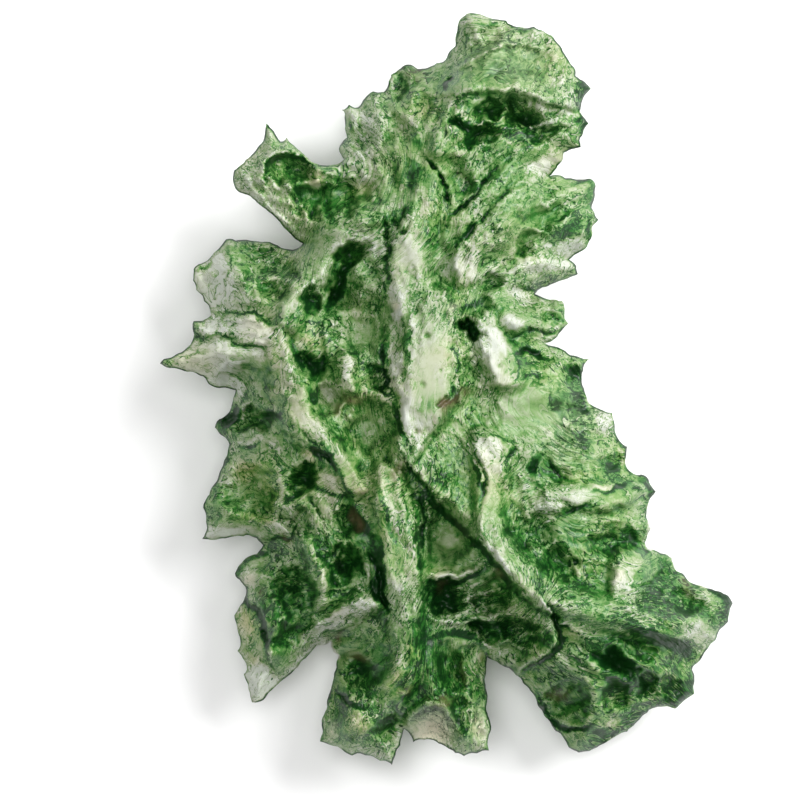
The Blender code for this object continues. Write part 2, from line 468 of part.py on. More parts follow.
def distance_to_rim(places, rim):
    """How far each place lies from the outline."""
    start, end = rim[:, :2], np.roll(rim[:, :2], -1, axis=0)
    run = end - start
    distance = np.empty(len(places))
    for first in range(0, len(places), BLOCK):
        offset = places[first:first + BLOCK, None, :] - start
        t = np.clip((offset * run).sum(axis=2) / (run ** 2).sum(axis=1), 0, 1)
        distance[first:first + BLOCK] = np.linalg.norm(offset - t[..., None] * run, axis=2).min(axis=1)
    return distance


def carried_inwards(places, rim):
    """The edge's height and fullness at each place: a mean over the rim that favours the near points."""
    values = np.empty((len(places), 2))
    for first in range(0, len(places), BLOCK):
        apart = ((places[first:first + BLOCK, None, :] - rim[:, :2]) ** 2).sum(axis=2)
        weight = (apart + HEIGHT_BLUR) ** -HEIGHT_FALL
        values[first:first + BLOCK] = (weight @ rim[:, 2:]) / weight.sum(axis=1)[:, None]
    return values.T


def half_thickness(inset, full):
    """Half the glass's thickness at a distance in from the edge: a thin lip, then the body."""
    lip = EDGE_HALF_THICKNESS * (1 - np.exp(-inset / EDGE_ROUNDING))
    return lip + BODY_HALF_THICKNESS * (1 - np.exp(-(inset * full / BODY_RISE) ** RISE_POWER))


def fade(t):
    """Falls smoothly from 1 at t = 0 to 0 at t = 1."""
    t = np.clip(t, 0, 1)
    return (1 - t) ** 2 * (1 + 2 * t)


def rib_rise(places, ribs):
    """The rise that the ribs give, the highest where they cross."""
    rise = np.zeros(len(places))
    for _, flat, points in ribs:
        distance, _, values = nearest_on_path(places, smooth_path(np.array(points)))
        width, height = values.T
        t = (distance / width - flat) / (RIB_FOOT - flat)
        rise = np.maximum(rise, height * fade(t))
    return rise


def hollow_depth(places, hollows):
    """The depth of the scooped hollows, which run into each other where they meet."""
    depth = np.zeros(len(places))
    for x, y, wide, tall, turn, deep in hollows:
        c, s = math.cos(math.radians(turn)), math.sin(math.radians(turn))
        u = (c * (places[:, 0] - x) + s * (places[:, 1] - y)) / wide
        v = (c * (places[:, 1] - y) - s * (places[:, 0] - x)) / tall
        reach = np.clip(np.hypot(u, v), 0, 1)
        depth += (deep * (1 - reach ** HOLLOW_POWER) ** HOLLOW_LIP) ** HOLLOW_BLEND
    return depth ** (1 / HOLLOW_BLEND)


def step_rise(places):
    """The rise of the overlapping layers on the left of each step's path."""
    rise = np.zeros(len(places))
    for _, height, reach, points in STEPS:
        distance, side, _ = nearest_on_path(places, smooth_path(np.array(points)))
        wall = 1 - fade(distance / STEP_WALL)
        rise += height * wall * fade(distance / reach) * (side > 0)
    return rise


def relief(places):
    """The broad relief of the top face, above or below the body's own curve."""
    drawn = wandered(places, LINE_WANDER)
    patchy = wandered(places, HOLLOW_WANDER)
    hollows = hollow_depth(patchy, [hollow[1:] for hollow in HOLLOWS])
    return rib_rise(drawn, RIBS) + step_rise(drawn) - hollows


def top_and_underside(places, rim):
    """The heights of the two sheets at each place."""
    inset = distance_to_rim(places, rim)
    edge, full = carried_inwards(places, rim)
    half = half_thickness(inset, full)
    inside = 1 - np.exp(-inset / RELIEF_ONSET)
    middle = edge + (MIDDLE_HEIGHT - edge) * (1 - np.exp(-(inset / MIDDLE_REACH) ** 2))
    under = middle - half + inside * (hollow_depth(places, UNDER_HOLLOWS) - rib_rise(places, UNDER_RIBS))
    under = worn_flat(places, np.maximum(under, UNDER_CLEARANCE * inside))
    thinnest = under + THINNEST * (1 - np.exp(-inset / EDGE_ROUNDING))
    return np.maximum(middle + half + inside * relief(places), thinnest), under


def worn_flat(places, under):
    """The underside with its bosses drawn down to the ground."""
    for x, y, radius, reach in FLATS:
        away = np.hypot(places[:, 0] - x, places[:, 1] - y)
        under = under * (1 - fade((away - radius) / reach))
    return under


def inside_outline(places, rim):
    """True for the places inside the outline, by counting crossings of a ray."""
    x, y = places[:, 0], places[:, 1]
    inside = np.zeros(len(places), bool)
    for (x0, y0), (x1, y1) in zip(rim[:, :2], np.roll(rim[:, :2], -1, axis=0)):
        if y0 != y1:
            inside ^= ((y0 > y) != (y1 > y)) & (x < x0 + (y - y0) * (x1 - x0) / (y1 - y0))
    return inside


def lattice(rim, spacing):
    """Places on a triangular lattice inside the outline, a little in from it."""
    low, high = rim[:, :2].min(axis=0), rim[:, :2].max(axis=0)
    row_step = spacing * math.sqrt(3) / 2
    rows = []
    for row, y in enumerate(np.arange(low[1], high[1], row_step)):
        x = np.arange(low[0] + (row % 2) * spacing / 2, high[0], spacing)
        rows.append(np.column_stack([x, np.full(len(x), y)]))
    places = np.vstack(rows)
    places = places[inside_outline(places, rim)]
    return places[distance_to_rim(places, rim) > RIM_CLEARANCE]


def triangulate(rim, places):
    """Triangles over the outline. A chord from rim to rim is split, so the two sheets never share it."""
    count = len(rim)
    edges = [(i, (i + 1) % count) for i in range(count)]
    while True:
        flat = [Vector(p) for p in np.vstack([rim[:, :2], places])]
        _, _, triangles, _, _, _ = delaunay_2d_cdt(flat, edges, [], 1, SAME_POINT)
        triangles = np.array(triangles)
        ends = np.vstack([triangles[:, [0, 1]], triangles[:, [1, 2]], triangles[:, [2, 0]]])
        ends = np.unique(np.sort(ends, axis=1), axis=0)
        gap = ends[:, 1] - ends[:, 0]
        chords = ends[(ends[:, 1] < count) & (gap != 1) & (gap != count - 1)]
        if not len(chords):
            return places, triangles
        places = np.vstack([places, (rim[chords[:, 0], :2] + rim[chords[:, 1], :2]) / 2])


def build_stone():
    """The stone as one closed mesh: two sheets over one triangulation, sharing the outline."""
    rim = wavering(run_together(outline()))
    places, triangles = triangulate(rim, lattice(rim, MESH_SPACING))
    top, under = top_and_underside(places, rim)
    points = np.vstack([rim[:, :3], np.column_stack([places, top]), np.column_stack([places, under])])
    points[:, 2] *= STONE_HEIGHT / top.max()
    beneath = np.where(triangles < len(rim), triangles, triangles + len(places))
    faces = np.vstack([triangles, beneath[:, ::-1]])
    mesh = bpy.data.meshes.new("moldavite")
    mesh.from_pydata((points * MILLIMETRE).tolist(), [], faces.tolist())
    mesh.validate()
    mesh.shade_smooth()
    mesh.materials.append(glass_material())
    stone = bpy.data.objects.new("moldavite", mesh)
    bpy.context.collection.objects.link(stone)
    return stone


clear_scene()
noise.seed_set(WANDER_SEED)
build_stone()
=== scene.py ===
"""The finished look of a moldavite, a drop of natural green glass that was etched ragged in the ground.

The stone is one closed mesh. Its body, ribs, hollows and steps follow the same rules and sizes as
the CAD solid, at a finer spacing, and then it gains the crevices, folds and etch scoops that the
solid leaves out. Lengths are in millimetres until the mesh is made, and heights are above the
ground that the stone lies on.
"""

import math

import bpy
import numpy as np
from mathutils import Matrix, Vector, noise
from mathutils.geometry import delaunay_2d_cdt
from mathutils.kdtree import KDTree


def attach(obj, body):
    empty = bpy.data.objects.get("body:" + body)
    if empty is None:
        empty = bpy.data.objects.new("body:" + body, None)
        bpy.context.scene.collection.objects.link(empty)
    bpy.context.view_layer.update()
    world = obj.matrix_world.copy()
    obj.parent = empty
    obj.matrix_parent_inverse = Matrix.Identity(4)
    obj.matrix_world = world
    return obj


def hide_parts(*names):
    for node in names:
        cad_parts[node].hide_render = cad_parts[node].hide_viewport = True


MILLIMETRE = 0.001

# Driving dimensions, the same as the solid's.
STONE_LENGTH = 37.5
STONE_HEIGHT = 10.4
MIDDLE_HEIGHT = 4.9
MIDDLE_REACH = 2.5
BODY_HALF_THICKNESS = 3.2
BODY_RISE = 1.7
RISE_POWER = 1.15
EDGE_HALF_THICKNESS = 0.3
EDGE_ROUNDING = 0.2
RELIEF_ONSET = 0.5
THINNEST = 0.5
UNDER_CLEARANCE = 0.6
RIB_FOOT = 1.7
HOLLOW_POWER = 2.0
HOLLOW_LIP = 1.5
HOLLOW_BLEND = 2.5
STEP_WALL = 0.3
HOLLOW_WANDER = ((1.9, 0.4), (0.7, 0.36), (0.3, 0.16))
LINE_WANDER = ((1.9, 0.15), (0.7, 0.15), (0.3, 0.1), (0.16, 0.05))
WANDER_SEED = 14
HEIGHT_BLUR = 0.05
HEIGHT_FALL = 1.5

# How finely the mesh follows the shape.
TOP_SPACING = 0.105
UNDER_SPACING = 0.21
RIM_SPACING = 0.14
RIM_CLEARANCE = 0.06
SPACING_JITTER = 0.22
RIM_SMOOTHING = 0.9
NICKS = ((0.9, 0.1), (0.35, 0.07))
RIM_WAVER = 0.5
WAVER_SIZE = 1.6
CURVE_STEPS = 6
RIM_MARKS = 4
HEIGHT_MARK_STEP = 4
BLOCK = 1024
SAME_POINT = 1e-7
NEVER_ZERO = 1e-12
SEED = 14
# The outline, clockwise seen from above, as lobes: a name, the height of its edge above the
# ground, how full it is behind that edge (1 is a blunt margin, less is a thin blade), and its
# corners. A corner is x, y and the bow of the edge that leaves it, as a share of that edge's
# length, outwards where positive.
LOBES = (
    ("crown", 5.9, 0.85, (
        (0.45, 17.2, 0), (0.55, 18.15, 0.1), (1.05, 18.75, 0.05), (1.9, 18.65, -0.05),
        (3.0, 18.45, -0.1), (3.5, 18.15, 0), (4.35, 18.1, 0), (5.1, 17.75, 0.1), (5.8, 16.9, 0),
        (6.35, 16.1, 0), (6.45, 15.7, 0.1), (7.15, 15.05, -0.1), (6.7, 13.9, 0),
        (7.1, 13.3, 0), (6.65, 12.6, -0.1), (6.65, 12.15, -0.1), (5.85, 11.85, 0.1),
        (5.5, 11.25, 0.1), (5.15, 10.7, 0.1),
    )),
    ("upper right lobe", 4.6, 0.9, (
        (5.95, 10.6, 0), (7.2, 10.6, 0.15), (7.5, 10.2, 0), (7.45, 9.5, -0.05),
        (7.3, 9.15, -0.1), (7.6, 8.55, -0.05), (7.25, 8.05, 0.1), (7.15, 7.45, 0.1),
        (6.85, 6.95, 0), (6.15, 6.55, 0.05),
    )),
    ("right splinter", 3.5, 0.5, (
        (6.55, 6.25, -0.1), (6.6, 5.85, 0), (6.2, 5.7, 0.05), (5.35, 5.4, -0.05),
        (4.6, 5.0, -0.15), (4.5, 4.85, 0),
    )),
    ("small right lobe", 5.2, 0.9, (
        (5.05, 4.6, -0.05), (5.8, 4.5, 0.1), (5.95, 4.05, -0.1), (6.05, 3.35, 0),
        (5.6, 2.85, 0.15), (5.0, 2.35, 0),
    )),
    ("right shoulder", 5.6, 1.2, (
        (5.7, 2.1, -0.05), (6.35, 1.75, -0.1), (7.15, 1.6, -0.15), (6.85, 1.0, -0.1),
        (6.8, 0.25, 0), (7.1, -0.5, -0.1), (7.55, -0.9, -0.05), (8.3, -1.1, 0),
    )),
    ("right lobe", 4.9, 1.0, (
        (8.4, -1.9, -0.1), (8.65, -2.5, -0.05), (9.05, -2.8, 0), (8.95, -3.25, -0.1),
        (8.95, -3.75, -0.1), (9.25, -4.1, -0.1), (9.75, -4.15, 0.1), (10.15, -4.6, -0.05),
        (10.45, -5.05, 0), (10.15, -5.55, -0.1), (10.0, -6.1, -0.1), (10.05, -6.5, 0),
        (10.25, -6.9, 0), (9.95, -7.6, 0),
    )),
    ("lower right lobe", 3.4, 0.95, (
        (10.1, -7.9, -0.05), (10.9, -8.15, 0.05), (11.4, -8.35, -0.15), (11.85, -9.2, -0.1),
        (12.65, -9.75, 0), (13.5, -10.0, 0.05), (14.05, -10.2, 0.1), (14.35, -10.65, 0),
        (14.15, -11.6, 0), (13.75, -11.95, 0), (13.5, -12.5, 0), (12.95, -13.15, 0),
        (12.6, -13.7, -0.1), (12.4, -14.0, 0.05), (12.5, -14.55, 0), (12.45, -15.2, 0),
        (11.95, -15.6, 0.1), (11.5, -15.95, -0.1), (10.8, -15.85, -0.15),
        (10.1, -16.15, -0.05), (9.65, -16.45, -0.05), (9.1, -17.1, -0.05), (8.2, -17.5, 0),
        (7.45, -17.95, 0.05), (6.65, -18.2, 0.05), (6.2, -17.85, -0.1), (5.5, -17.05, 0),
        (4.95, -16.4, 0), (4.5, -15.45, 0), (3.85, -14.45, 0),
    )),
    ("middle fin", 5.0, 0.9, (
        (3.45, -14.25, 0), (3.15, -13.9, 0.05), (2.55, -13.55, 0.05), (2.05, -13.3, -0.05),
    )),
    ("right foot", 4.2, 0.9, (
        (2.0, -15.0, 0), (2.1, -16.25, 0.05), (2.25, -17.1, -0.1), (2.15, -18.0, 0),
        (1.55, -18.1, -0.1), (0.9, -18.3, -0.1), (0.45, -18.15, -0.1), (-0.4, -17.7, -0.15),
        (-1.1, -17.5, -0.1), (-1.65, -17.6, -0.1), (-2.1, -16.9, -0.1),
    )),
    ("left foot", 4.0, 1.0, (
        (-2.25, -17.75, -0.05), (-2.7, -18.75, -0.15), (-3.3, -18.5, -0.1),
        (-4.05, -18.25, -0.1), (-4.7, -18.25, 0.1), (-5.4, -17.8, 0), (-6.3, -17.55, -0.05),
        (-6.2, -16.5, -0.05), (-5.95, -15.5, 0), (-5.65, -14.4, 0), (-5.4, -13.25, 0.2),
        (-5.75, -12.55, 0.15),
    )),
    ("lower left lobe", 3.3, 0.75, (
        (-6.45, -12.75, 0), (-7.15, -13.5, 0), (-7.95, -14.35, -0.05), (-8.7, -15.05, 0.05),
        (-9.3, -15.55, 0.1), (-9.7, -15.6, 0), (-9.9, -15.0, 0), (-10.15, -14.2, -0.15),
        (-10.05, -13.7, 0), (-10.45, -13.05, -0.1), (-10.4, -12.25, 0), (-10.6, -11.25, 0),
        (-10.25, -10.6, -0.1), (-10.05, -10.0, -0.1), (-10.35, -9.5, 0.1),
        (-10.55, -9.15, 0), (-10.15, -8.5, 0.05), (-9.5, -8.15, 0), (-9.2, -7.75, 0),
        (-9.5, -7.4, -0.1),
    )),
    ("left lobe", 4.5, 1.1, (
        (-10.15, -7.3, -0.05), (-11.05, -7.35, 0.05), (-11.75, -7.45, -0.1),
        (-12.15, -7.4, -0.1), (-11.95, -7.0, -0.05), (-12.15, -5.85, 0.1), (-11.8, -5.2, 0),
        (-11.3, -4.15, -0.05), (-10.95, -3.1, -0.05), (-10.85, -2.7, -0.1),
    )),
    ("left fold", 3.1, 1.2, (
        (-11.2, -2.25, 0), (-11.6, -1.85, 0.1), (-11.35, -1.45, -0.05), (-10.9, -1.1, -0.05),
        (-10.65, -0.35, 0), (-10.5, 0.05, 0),
    )),
    ("left spike", 5.1, 0.8, (
        (-11.2, 0.1, 0.05), (-11.85, 0.35, 0), (-12.15, 0.7, -0.05), (-12.9, 0.95, -0.05),
        (-13.8, 1.15, 0.05), (-14.3, 1.35, 0.15), (-14.1, 1.6, -0.05), (-13.35, 1.85, -0.1),
        (-12.85, 2.2, -0.1), (-12.6, 2.65, -0.1), (-12.65, 3.1, 0.1), (-12.6, 3.45, 0.05),
        (-12.15, 3.5, 0), (-11.75, 3.8, -0.1),
    )),
    ("upper left lobe", 4.0, 0.8, (
        (-12.05, 4.5, -0.1), (-12.5, 5.05, -0.05), (-12.65, 5.5, -0.05), (-12.65, 6.1, 0.05),
        (-12.4, 6.35, -0.1), (-11.9, 6.55, 0), (-11.4, 7.1, 0.05), (-11.0, 7.55, 0.1),
        (-10.55, 7.45, 0.05), (-9.7, 7.5, 0), (-9.0, 7.45, 0.1), (-8.3, 7.15, -0.05),
        (-7.8, 7.05, -0.15), (-7.15, 7.35, 0),
    )),
    ("horn", 6.2, 0.85, (
        (-7.55, 7.6, 0), (-8.1, 8.15, 0), (-8.8, 8.85, 0), (-9.3, 9.3, 0),
        (-9.65, 9.55, -0.1), (-10.25, 9.9, 0.1), (-10.6, 10.45, 0.1), (-10.55, 10.95, -0.05),
        (-10.0, 11.5, -0.1), (-9.35, 12.1, -0.1), (-9.05, 12.75, 0), (-8.95, 13.3, 0.05),
        (-8.6, 12.9, -0.05), (-8.25, 12.4, -0.2), (-7.95, 12.6, -0.05), (-7.5, 12.1, 0),
        (-6.9, 11.6, -0.1), (-6.3, 11.25, 0), (-5.5, 11.3, -0.15),
    )),
    ("top left shoulder", 4.4, 1.0, (
        (-5.1, 11.55, 0), (-5.3, 11.95, 0.1), (-5.2, 12.4, 0.1), (-4.95, 12.65, 0),
        (-5.05, 13.4, -0.1), (-5.25, 14.05, -0.1), (-4.85, 14.3, -0.15), (-4.4, 14.2, -0.1),
        (-4.0, 14.75, 0.1), (-3.65, 14.95, 0), (-3.1, 14.9, -0.1), (-2.9, 15.5, 0),
        (-2.8, 15.85, 0), (-2.25, 16.1, 0.1), (-1.75, 16.3, 0.1), (-1.4, 16.1, -0.1),
        (-0.9, 16.15, 0), (-0.5, 16.4, -0.1), (-0.05, 16.55, 0),
    )),
)

# Raised ribs on the top face. A point is x, y, the rib's half width and its rise. A flat of 0
# is a sharp crest, and near 1 it is a level-topped bank.
RIBS = (
    ("upper spine", 0.6, (
        (-0.9, 10.5, 0.42, 0.36), (-1.3, 8.9, 0.74, 0.79), (-1.9, 7.2, 0.95, 1.1),
        (-2, 5.4, 0.95, 1.1), (-1.4, 4.4, 1.1, 1.2),
    )),
    ("central bank", 0.8, (
        (-0.7, 3.6, 1.2, 1.3), (-0.7, 2.4, 1.3, 1.4), (-0.8, 0.9, 1.4, 1.4),
        (-1.1, -0.6, 1.1, 1.4), (-1.6, -2, 0.64, 1.2), (-2.2, -3.2, 0.53, 1.1),
    )),
    ("lower spine", 0.6, (
        (-2.9, -4.2, 0.64, 1.1), (-2.8, -5.6, 0.85, 1.3), (-2.4, -7.3, 0.95, 1.4),
        (-2.2, -9.2, 0.85, 1.4), (-2.2, -11, 0.74, 1.2), (-2.1, -13, 0.64, 0.94),
        (-2.5, -14.8, 0.64, 0.65), (-3.3, -16.2, 0.53, 0.36),
    )),
    ("left rib, top", 0.3, (
        (-1.8, 9.2, 0.53, 0.36), (-3.4, 8.7, 0.64, 0.65), (-4.9, 8, 0.74, 0.86),
        (-6.2, 7.3, 0.74, 0.94), (-6.9, 5.8, 0.74, 0.94), (-7.6, 4.6, 0.64, 0.94),
        (-7.8, 3.5, 0.64, 1),
    )),
    ("left rib, foot", 0.5, (
        (-8.6, 2.6, 0.53, 0.72), (-8.2, 1.4, 0.64, 1.1), (-7.7, 0, 0.85, 1.3),
        (-7.3, -1.4, 0.85, 1.4), (-6.2, -2.4, 0.64, 1.3), (-5.3, -3.5, 0.53, 1.2),
        (-4.5, -4.7, 0.53, 1),
    )),
    ("spike bank", 0.7, (
        (-8.5, 2.8, 0.42, 0.72), (-9.8, 2.95, 0.53, 0.79), (-11.2, 3.05, 0.42, 0.58),
        (-12.1, 3.2, 0.32, 0.29),
    )),
    ("spike crest", 0.2, (
        (-9.2, 1.6, 0.7, 0.6), (-11.5, 1.6, 0.7, 0.9), (-13.2, 1.5, 0.4, 0.5),
    )),
    ("long finger", 0.8, (
        (1.9, 3.3, 0.53, 0.94), (2.1, 2.4, 0.64, 1.1), (2.6, 1.6, 0.74, 1.1), (3, 0.9, 0.74, 0.94),
    )),
    ("right spine", 0.5, (
        (1.9, -2.6, 0.64, 0.94), (2.3, -3.6, 0.74, 1.1), (2.1, -5, 0.64, 1.1),
        (2.1, -6.6, 0.64, 1.1), (2.9, -8.1, 0.64, 1.2), (4.4, -9.4, 0.64, 1.2),
        (6, -10.4, 0.64, 1.2), (8, -11, 0.64, 1.2), (10, -11.5, 0.64, 1.1),
        (11.5, -11.7, 0.74, 0.94), (12.9, -12.2, 0.85, 0.58),
    )),
    ("right bank", 0.7, (
        (4.9, -5.5, 0.53, 0.58), (6.3, -5.3, 0.53, 0.72), (8, -5.3, 0.53, 0.72), (9.3, -5.1, 0.42, 0.43),
    )),
    ("diagonal rib, lower", 0.4, (
        (0.9, 5.6, 0.42, 0.5), (1.1, 6.8, 0.53, 0.72), (2.3, 8.1, 0.74, 0.86), (3.2, 9.3, 0.74, 0.86),
        (4.3, 10.3, 0.53, 0.72), (5, 10.9, 0.42, 0.36),
    )),
    ("diagonal rib, upper", 0.3, (
        (0, 7.6, 0.42, 0.43), (1.1, 8.7, 0.53, 0.72), (2.2, 9.8, 0.53, 0.72), (3.4, 10.9, 0.42, 0.5),
    )),
    ("splinter crest", 0.2, ((3.0, 5.2, 0.5, 0.6), (4.2, 5.9, 0.6, 0.8), (6.0, 6.1, 0.4, 0.4))),
    ("lower left rib", 0.2, (
        (-7.0, -12.6, 0.4, 0.9), (-6.2, -11.8, 0.5, 1.3), (-5.2, -11.2, 0.6, 1.5),
        (-4.2, -10.7, 0.6, 1.6), (-3.5, -10.7, 0.4, 1.2),
    )),
    ("bowl wall", 0.0, (
        (-7.0, -7.5, 0.4, 0.8), (-6.4, -8.6, 0.4, 1.1), (-6.1, -9.8, 0.4, 1.1), (-6.2, -10.7, 0.4, 0.8),
    )),
    ("white knob", 0.7, ((9.1, -8.6, 0.7, 1.1), (9.0, -9.6, 0.7, 1.2), (8.7, -10.3, 0.5, 1.0))),
    ("small right crest", 0.4, ((2.6, 4.4, 0.6, 0.9), (3.6, 3.7, 0.8, 1.1), (4.6, 3.9, 0.6, 0.6))),
    ("hollow boss", 0.4, ((-5.0, 1.6, 0.5, 0.9), (-4.9, 0.3, 0.5, 0.9))),
    ("crown rib", 0.2, (
        (-0.3, 12.0, 0.6, 0.7), (0.6, 14.6, 0.7, 0.8), (1.4, 16.0, 0.6, 0.6), (2.8, 16.9, 0.5, 0.5),
    )),
    ("left foot rib", 0.2, ((-5.3, -14.0, 0.4, 0.5), (-4.6, -16.4, 0.7, 0.8), (-4.4, -17.6, 0.5, 0.3))),
)

# Scooped hollows in the top face: x, y, the two half widths, the turn in degrees, the depth.
HOLLOWS = (
    ("crown basin", 4.5, 16.3, 1.9, 1.3, -20, 1.0),
    ("crown top dish", 2.3, 17.6, 1.2, 0.6, -8, 0.7),
    ("crown dark hollow", 3.7, 13.7, 1.5, 0.8, -15, 2.4),
    ("crown inner hollow", 2.1, 13.9, 0.9, 0.6, 10, 1.9),
    ("crown lower hollow", 1.7, 12.6, 1.0, 0.7, 20, 1.6),
    ("crown tail hollow", 5.2, 12.9, 1.4, 0.6, 20, 1.1),
    ("horn hollow, left", -7.6, 10.8, 1.3, 0.9, -15, 2.3),
    ("horn hollow, middle", -6.4, 9.6, 1.5, 1.2, 0, 2.3),
    ("horn hollow, right", -4.9, 9.7, 1.6, 1.2, 0, 1.7),
    ("shoulder scoop, left", -4.2, 12.6, 0.8, 1.0, 10, 0.9),
    ("shoulder scoop, middle", -2.4, 12.8, 0.9, 1.2, 10, 0.8),
    ("shoulder scoop, top", -2.2, 15.0, 0.8, 0.8, 0, 1.2),
    ("shoulder scoop, right", -1.0, 14.2, 0.8, 0.9, 20, 0.6),
    ("wedge facet", 0.6, 10.4, 0.9, 1.1, -20, 0.8),
    ("upper left dish", -9.0, 6.4, 1.9, 1.0, -5, 1.6),
    ("upper left dish, inner", -8.9, 5.0, 1.3, 0.9, -30, 1.1),
    ("upper left tip dish", -11.7, 5.4, 0.8, 1.1, 20, 0.7),
    ("long hollow, head", -4.9, 6.6, 1.2, 0.9, 20, 1.8),
    ("long hollow, neck", -5.3, 4.7, 1.4, 1.5, -20, 1.9),
    ("long hollow, cup", -6.7, 4.5, 0.8, 0.8, 0, 1.7),
    ("long hollow, middle", -4.2, 3.4, 1.6, 1.9, 0, 1.6),
    ("long hollow, left pit", -6.5, 1.4, 0.8, 1.1, 10, 1.2),
    ("long hollow, foot", -5.9, -0.4, 0.9, 1.0, 20, 1.0),
    ("long hollow, pool", -3.9, -1.8, 1.6, 1.6, 0, 1.5),
    ("spine shoulder scoop", -3.4, 0.6, 0.7, 0.9, 0, 0.9),
    ("spike scoop", -10.6, 0.9, 1.3, 0.6, -10, 0.8),
    ("fold cave", -10.8, -1.3, 0.7, 0.7, 40, 1.3),
    ("fold hollow", -9.5, -1.4, 1.2, 0.7, -10, 1.7),
    ("left bowl", -9.9, -4.9, 1.6, 1.6, 0, 1.9),
    ("left dark hollow", -7.2, -4.4, 0.9, 1.0, 0, 1.7),
    ("left bowl, inner", -7.4, -6.6, 1.0, 0.7, -20, 1.2),
    ("lower left pocket", -4.9, -8.6, 1.2, 1.0, 0, 2.2),
    ("lower left pocket, top", -5.1, -6.5, 1.0, 1.0, 0, 1.2),
    ("lower left bowl", -7.6, -9.9, 1.4, 1.5, 0, 2.1),
    ("lower left bowl, foot", -8.2, -12.0, 0.9, 0.8, -20, 1.4),
    ("lower left tip dish", -9.2, -13.8, 0.8, 1.2, 20, 0.6),
    ("left foot hollow", -4.3, -14.2, 1.0, 1.2, 0, 1.4),
    ("left foot dish", -2.9, -16.8, 0.8, 0.8, 0, 1.2),
    ("right foot channel", 0.3, -13.9, 1.0, 1.6, 0, 1.4),
    ("right foot channel, end", 0.6, -16.2, 0.7, 1.2, 10, 1.2),
    ("beige facet", -0.7, -17.0, 1.3, 1.2, 0, 1.3),
    ("right foot facet", 1.7, -16.8, 0.5, 1.4, 0, 0.8),
    ("centre pool", -0.1, -7.3, 1.5, 2.0, 10, 2.2),
    ("pool foot fold", 0.0, -10.2, 1.5, 0.8, -5, 2.2),
    ("fin scoop, top", 2.3, -10.3, 1.2, 1.0, -30, 1.7),
    ("fin scoop, middle", 3.4, -11.8, 1.4, 0.9, -25, 1.6),
    ("fin scoop, foot", 1.7, -12.0, 1.0, 0.6, -20, 1.5),
    ("fin scoop, tip", 3.2, -13.1, 0.9, 0.6, -30, 1.0),
    ("lower right pit", 8.4, -13.5, 1.6, 0.8, -25, 1.9),
    ("lower right dark hollow", 6.0, -15.6, 1.3, 1.4, -30, 1.9),
    ("lower right green dish", 8.5, -15.2, 1.1, 0.9, 0, 1.4),
    ("lower right cup", 10.0, -14.8, 0.7, 0.8, 0, 1.2),
    ("lower right end cup", 11.2, -14.9, 0.7, 0.8, 0, 1.0),
    ("lower right arm dish", 12.2, -10.5, 1.2, 0.6, -20, 1.1),
    ("lower right arm scoop", 10.8, -9.4, 0.7, 0.8, 0, 0.8),
    ("lower right band scoop", 9.6, -12.7, 1.6, 0.6, -20, 1.0),
    ("shoulder rim pit, top", 6.2, 0.7, 0.7, 1.0, 0, 1.2),
    ("shoulder rim pit, foot", 6.5, -0.6, 0.9, 0.5, 0, 1.1),
    ("right lobe rim pit", 8.3, -3.3, 0.8, 0.8, -30, 1.0),
    ("right slope dish", 4.7, -1.6, 2.4, 1.5, 0, 0.4),
    ("right slope dish, top", 1.8, -0.8, 1.2, 1.3, 0, 0.4),
    ("right slope dish, side", 7.2, -2.2, 1.2, 1.1, 0, 0.4),
    ("right slope dish, foot", 5.4, -4.1, 1.3, 0.7, -10, 0.5),
    ("right dark band", 8.2, -7.4, 1.7, 0.9, -5, 1.3),
    ("right dark dish", 4.2, -7.0, 1.3, 1.0, -20, 1.0),
    ("right dark dish, foot", 5.6, -8.3, 1.2, 0.7, -30, 1.1),
    ("finger hole", 1.1, 3.1, 0.4, 0.6, 10, 2.2),
    ("finger side scoop", 1.4, 1.2, 0.6, 1.0, 10, 0.4),
    ("small right dish", 5.2, 3.7, 0.8, 0.8, 30, 1.0),
    ("upper right dish", 5.1, 8.7, 1.6, 0.8, 20, 1.0),
    ("upper right scoop", 3.9, 7.2, 1.2, 0.6, 35, 1.1),
    ("spine flank scoop", -0.2, 5.7, 0.9, 1.3, 0, 0.7),
    ("notch scoop", 2.3, 5.3, 0.9, 0.7, 20, 0.9),
)

# Steps where one layer of glass overlaps the next. The left of the path, walking along it, is
# the raised side: the rise of the step, how far it fades out, and the path's points.
STEPS = (
    ("pool wall", 1.3, 2.6, (
        (-1.5, -4.3), (-0.9, -5.2), (0.0, -6.2), (0.9, -7.0), (1.7, -7.7), (2.4, -8.7), (3.1, -9.7),
        (4.1, -10.6), (5.3, -11.3),
    )),
    ("fin edge", 1.7, 2.2, ((3.7, -14.2), (4.7, -13.5), (5.35, -12.8), (5.65, -12.1), (5.2, -11.1))),
    ("lower left edge", 1.3, 1.8, ((-10.3, -10.4), (-9.6, -10.8), (-9.15, -11.6), (-8.9, -12.7))),
    ("crown ledge", 1.0, 1.6, (
        (1.0, 14.6), (2.5, 14.6), (3.8, 14.5), (4.6, 14.1), (5.6, 14.0), (6.7, 13.9),
    )),
    ("horn lip", 0.9, 0.9, (
        (-8.9, 10.6), (-8.8, 11.2), (-8.3, 11.5), (-7.6, 11.6), (-6.8, 11.2), (-6.0, 11.0),
        (-5.3, 11.1),
    )),
)

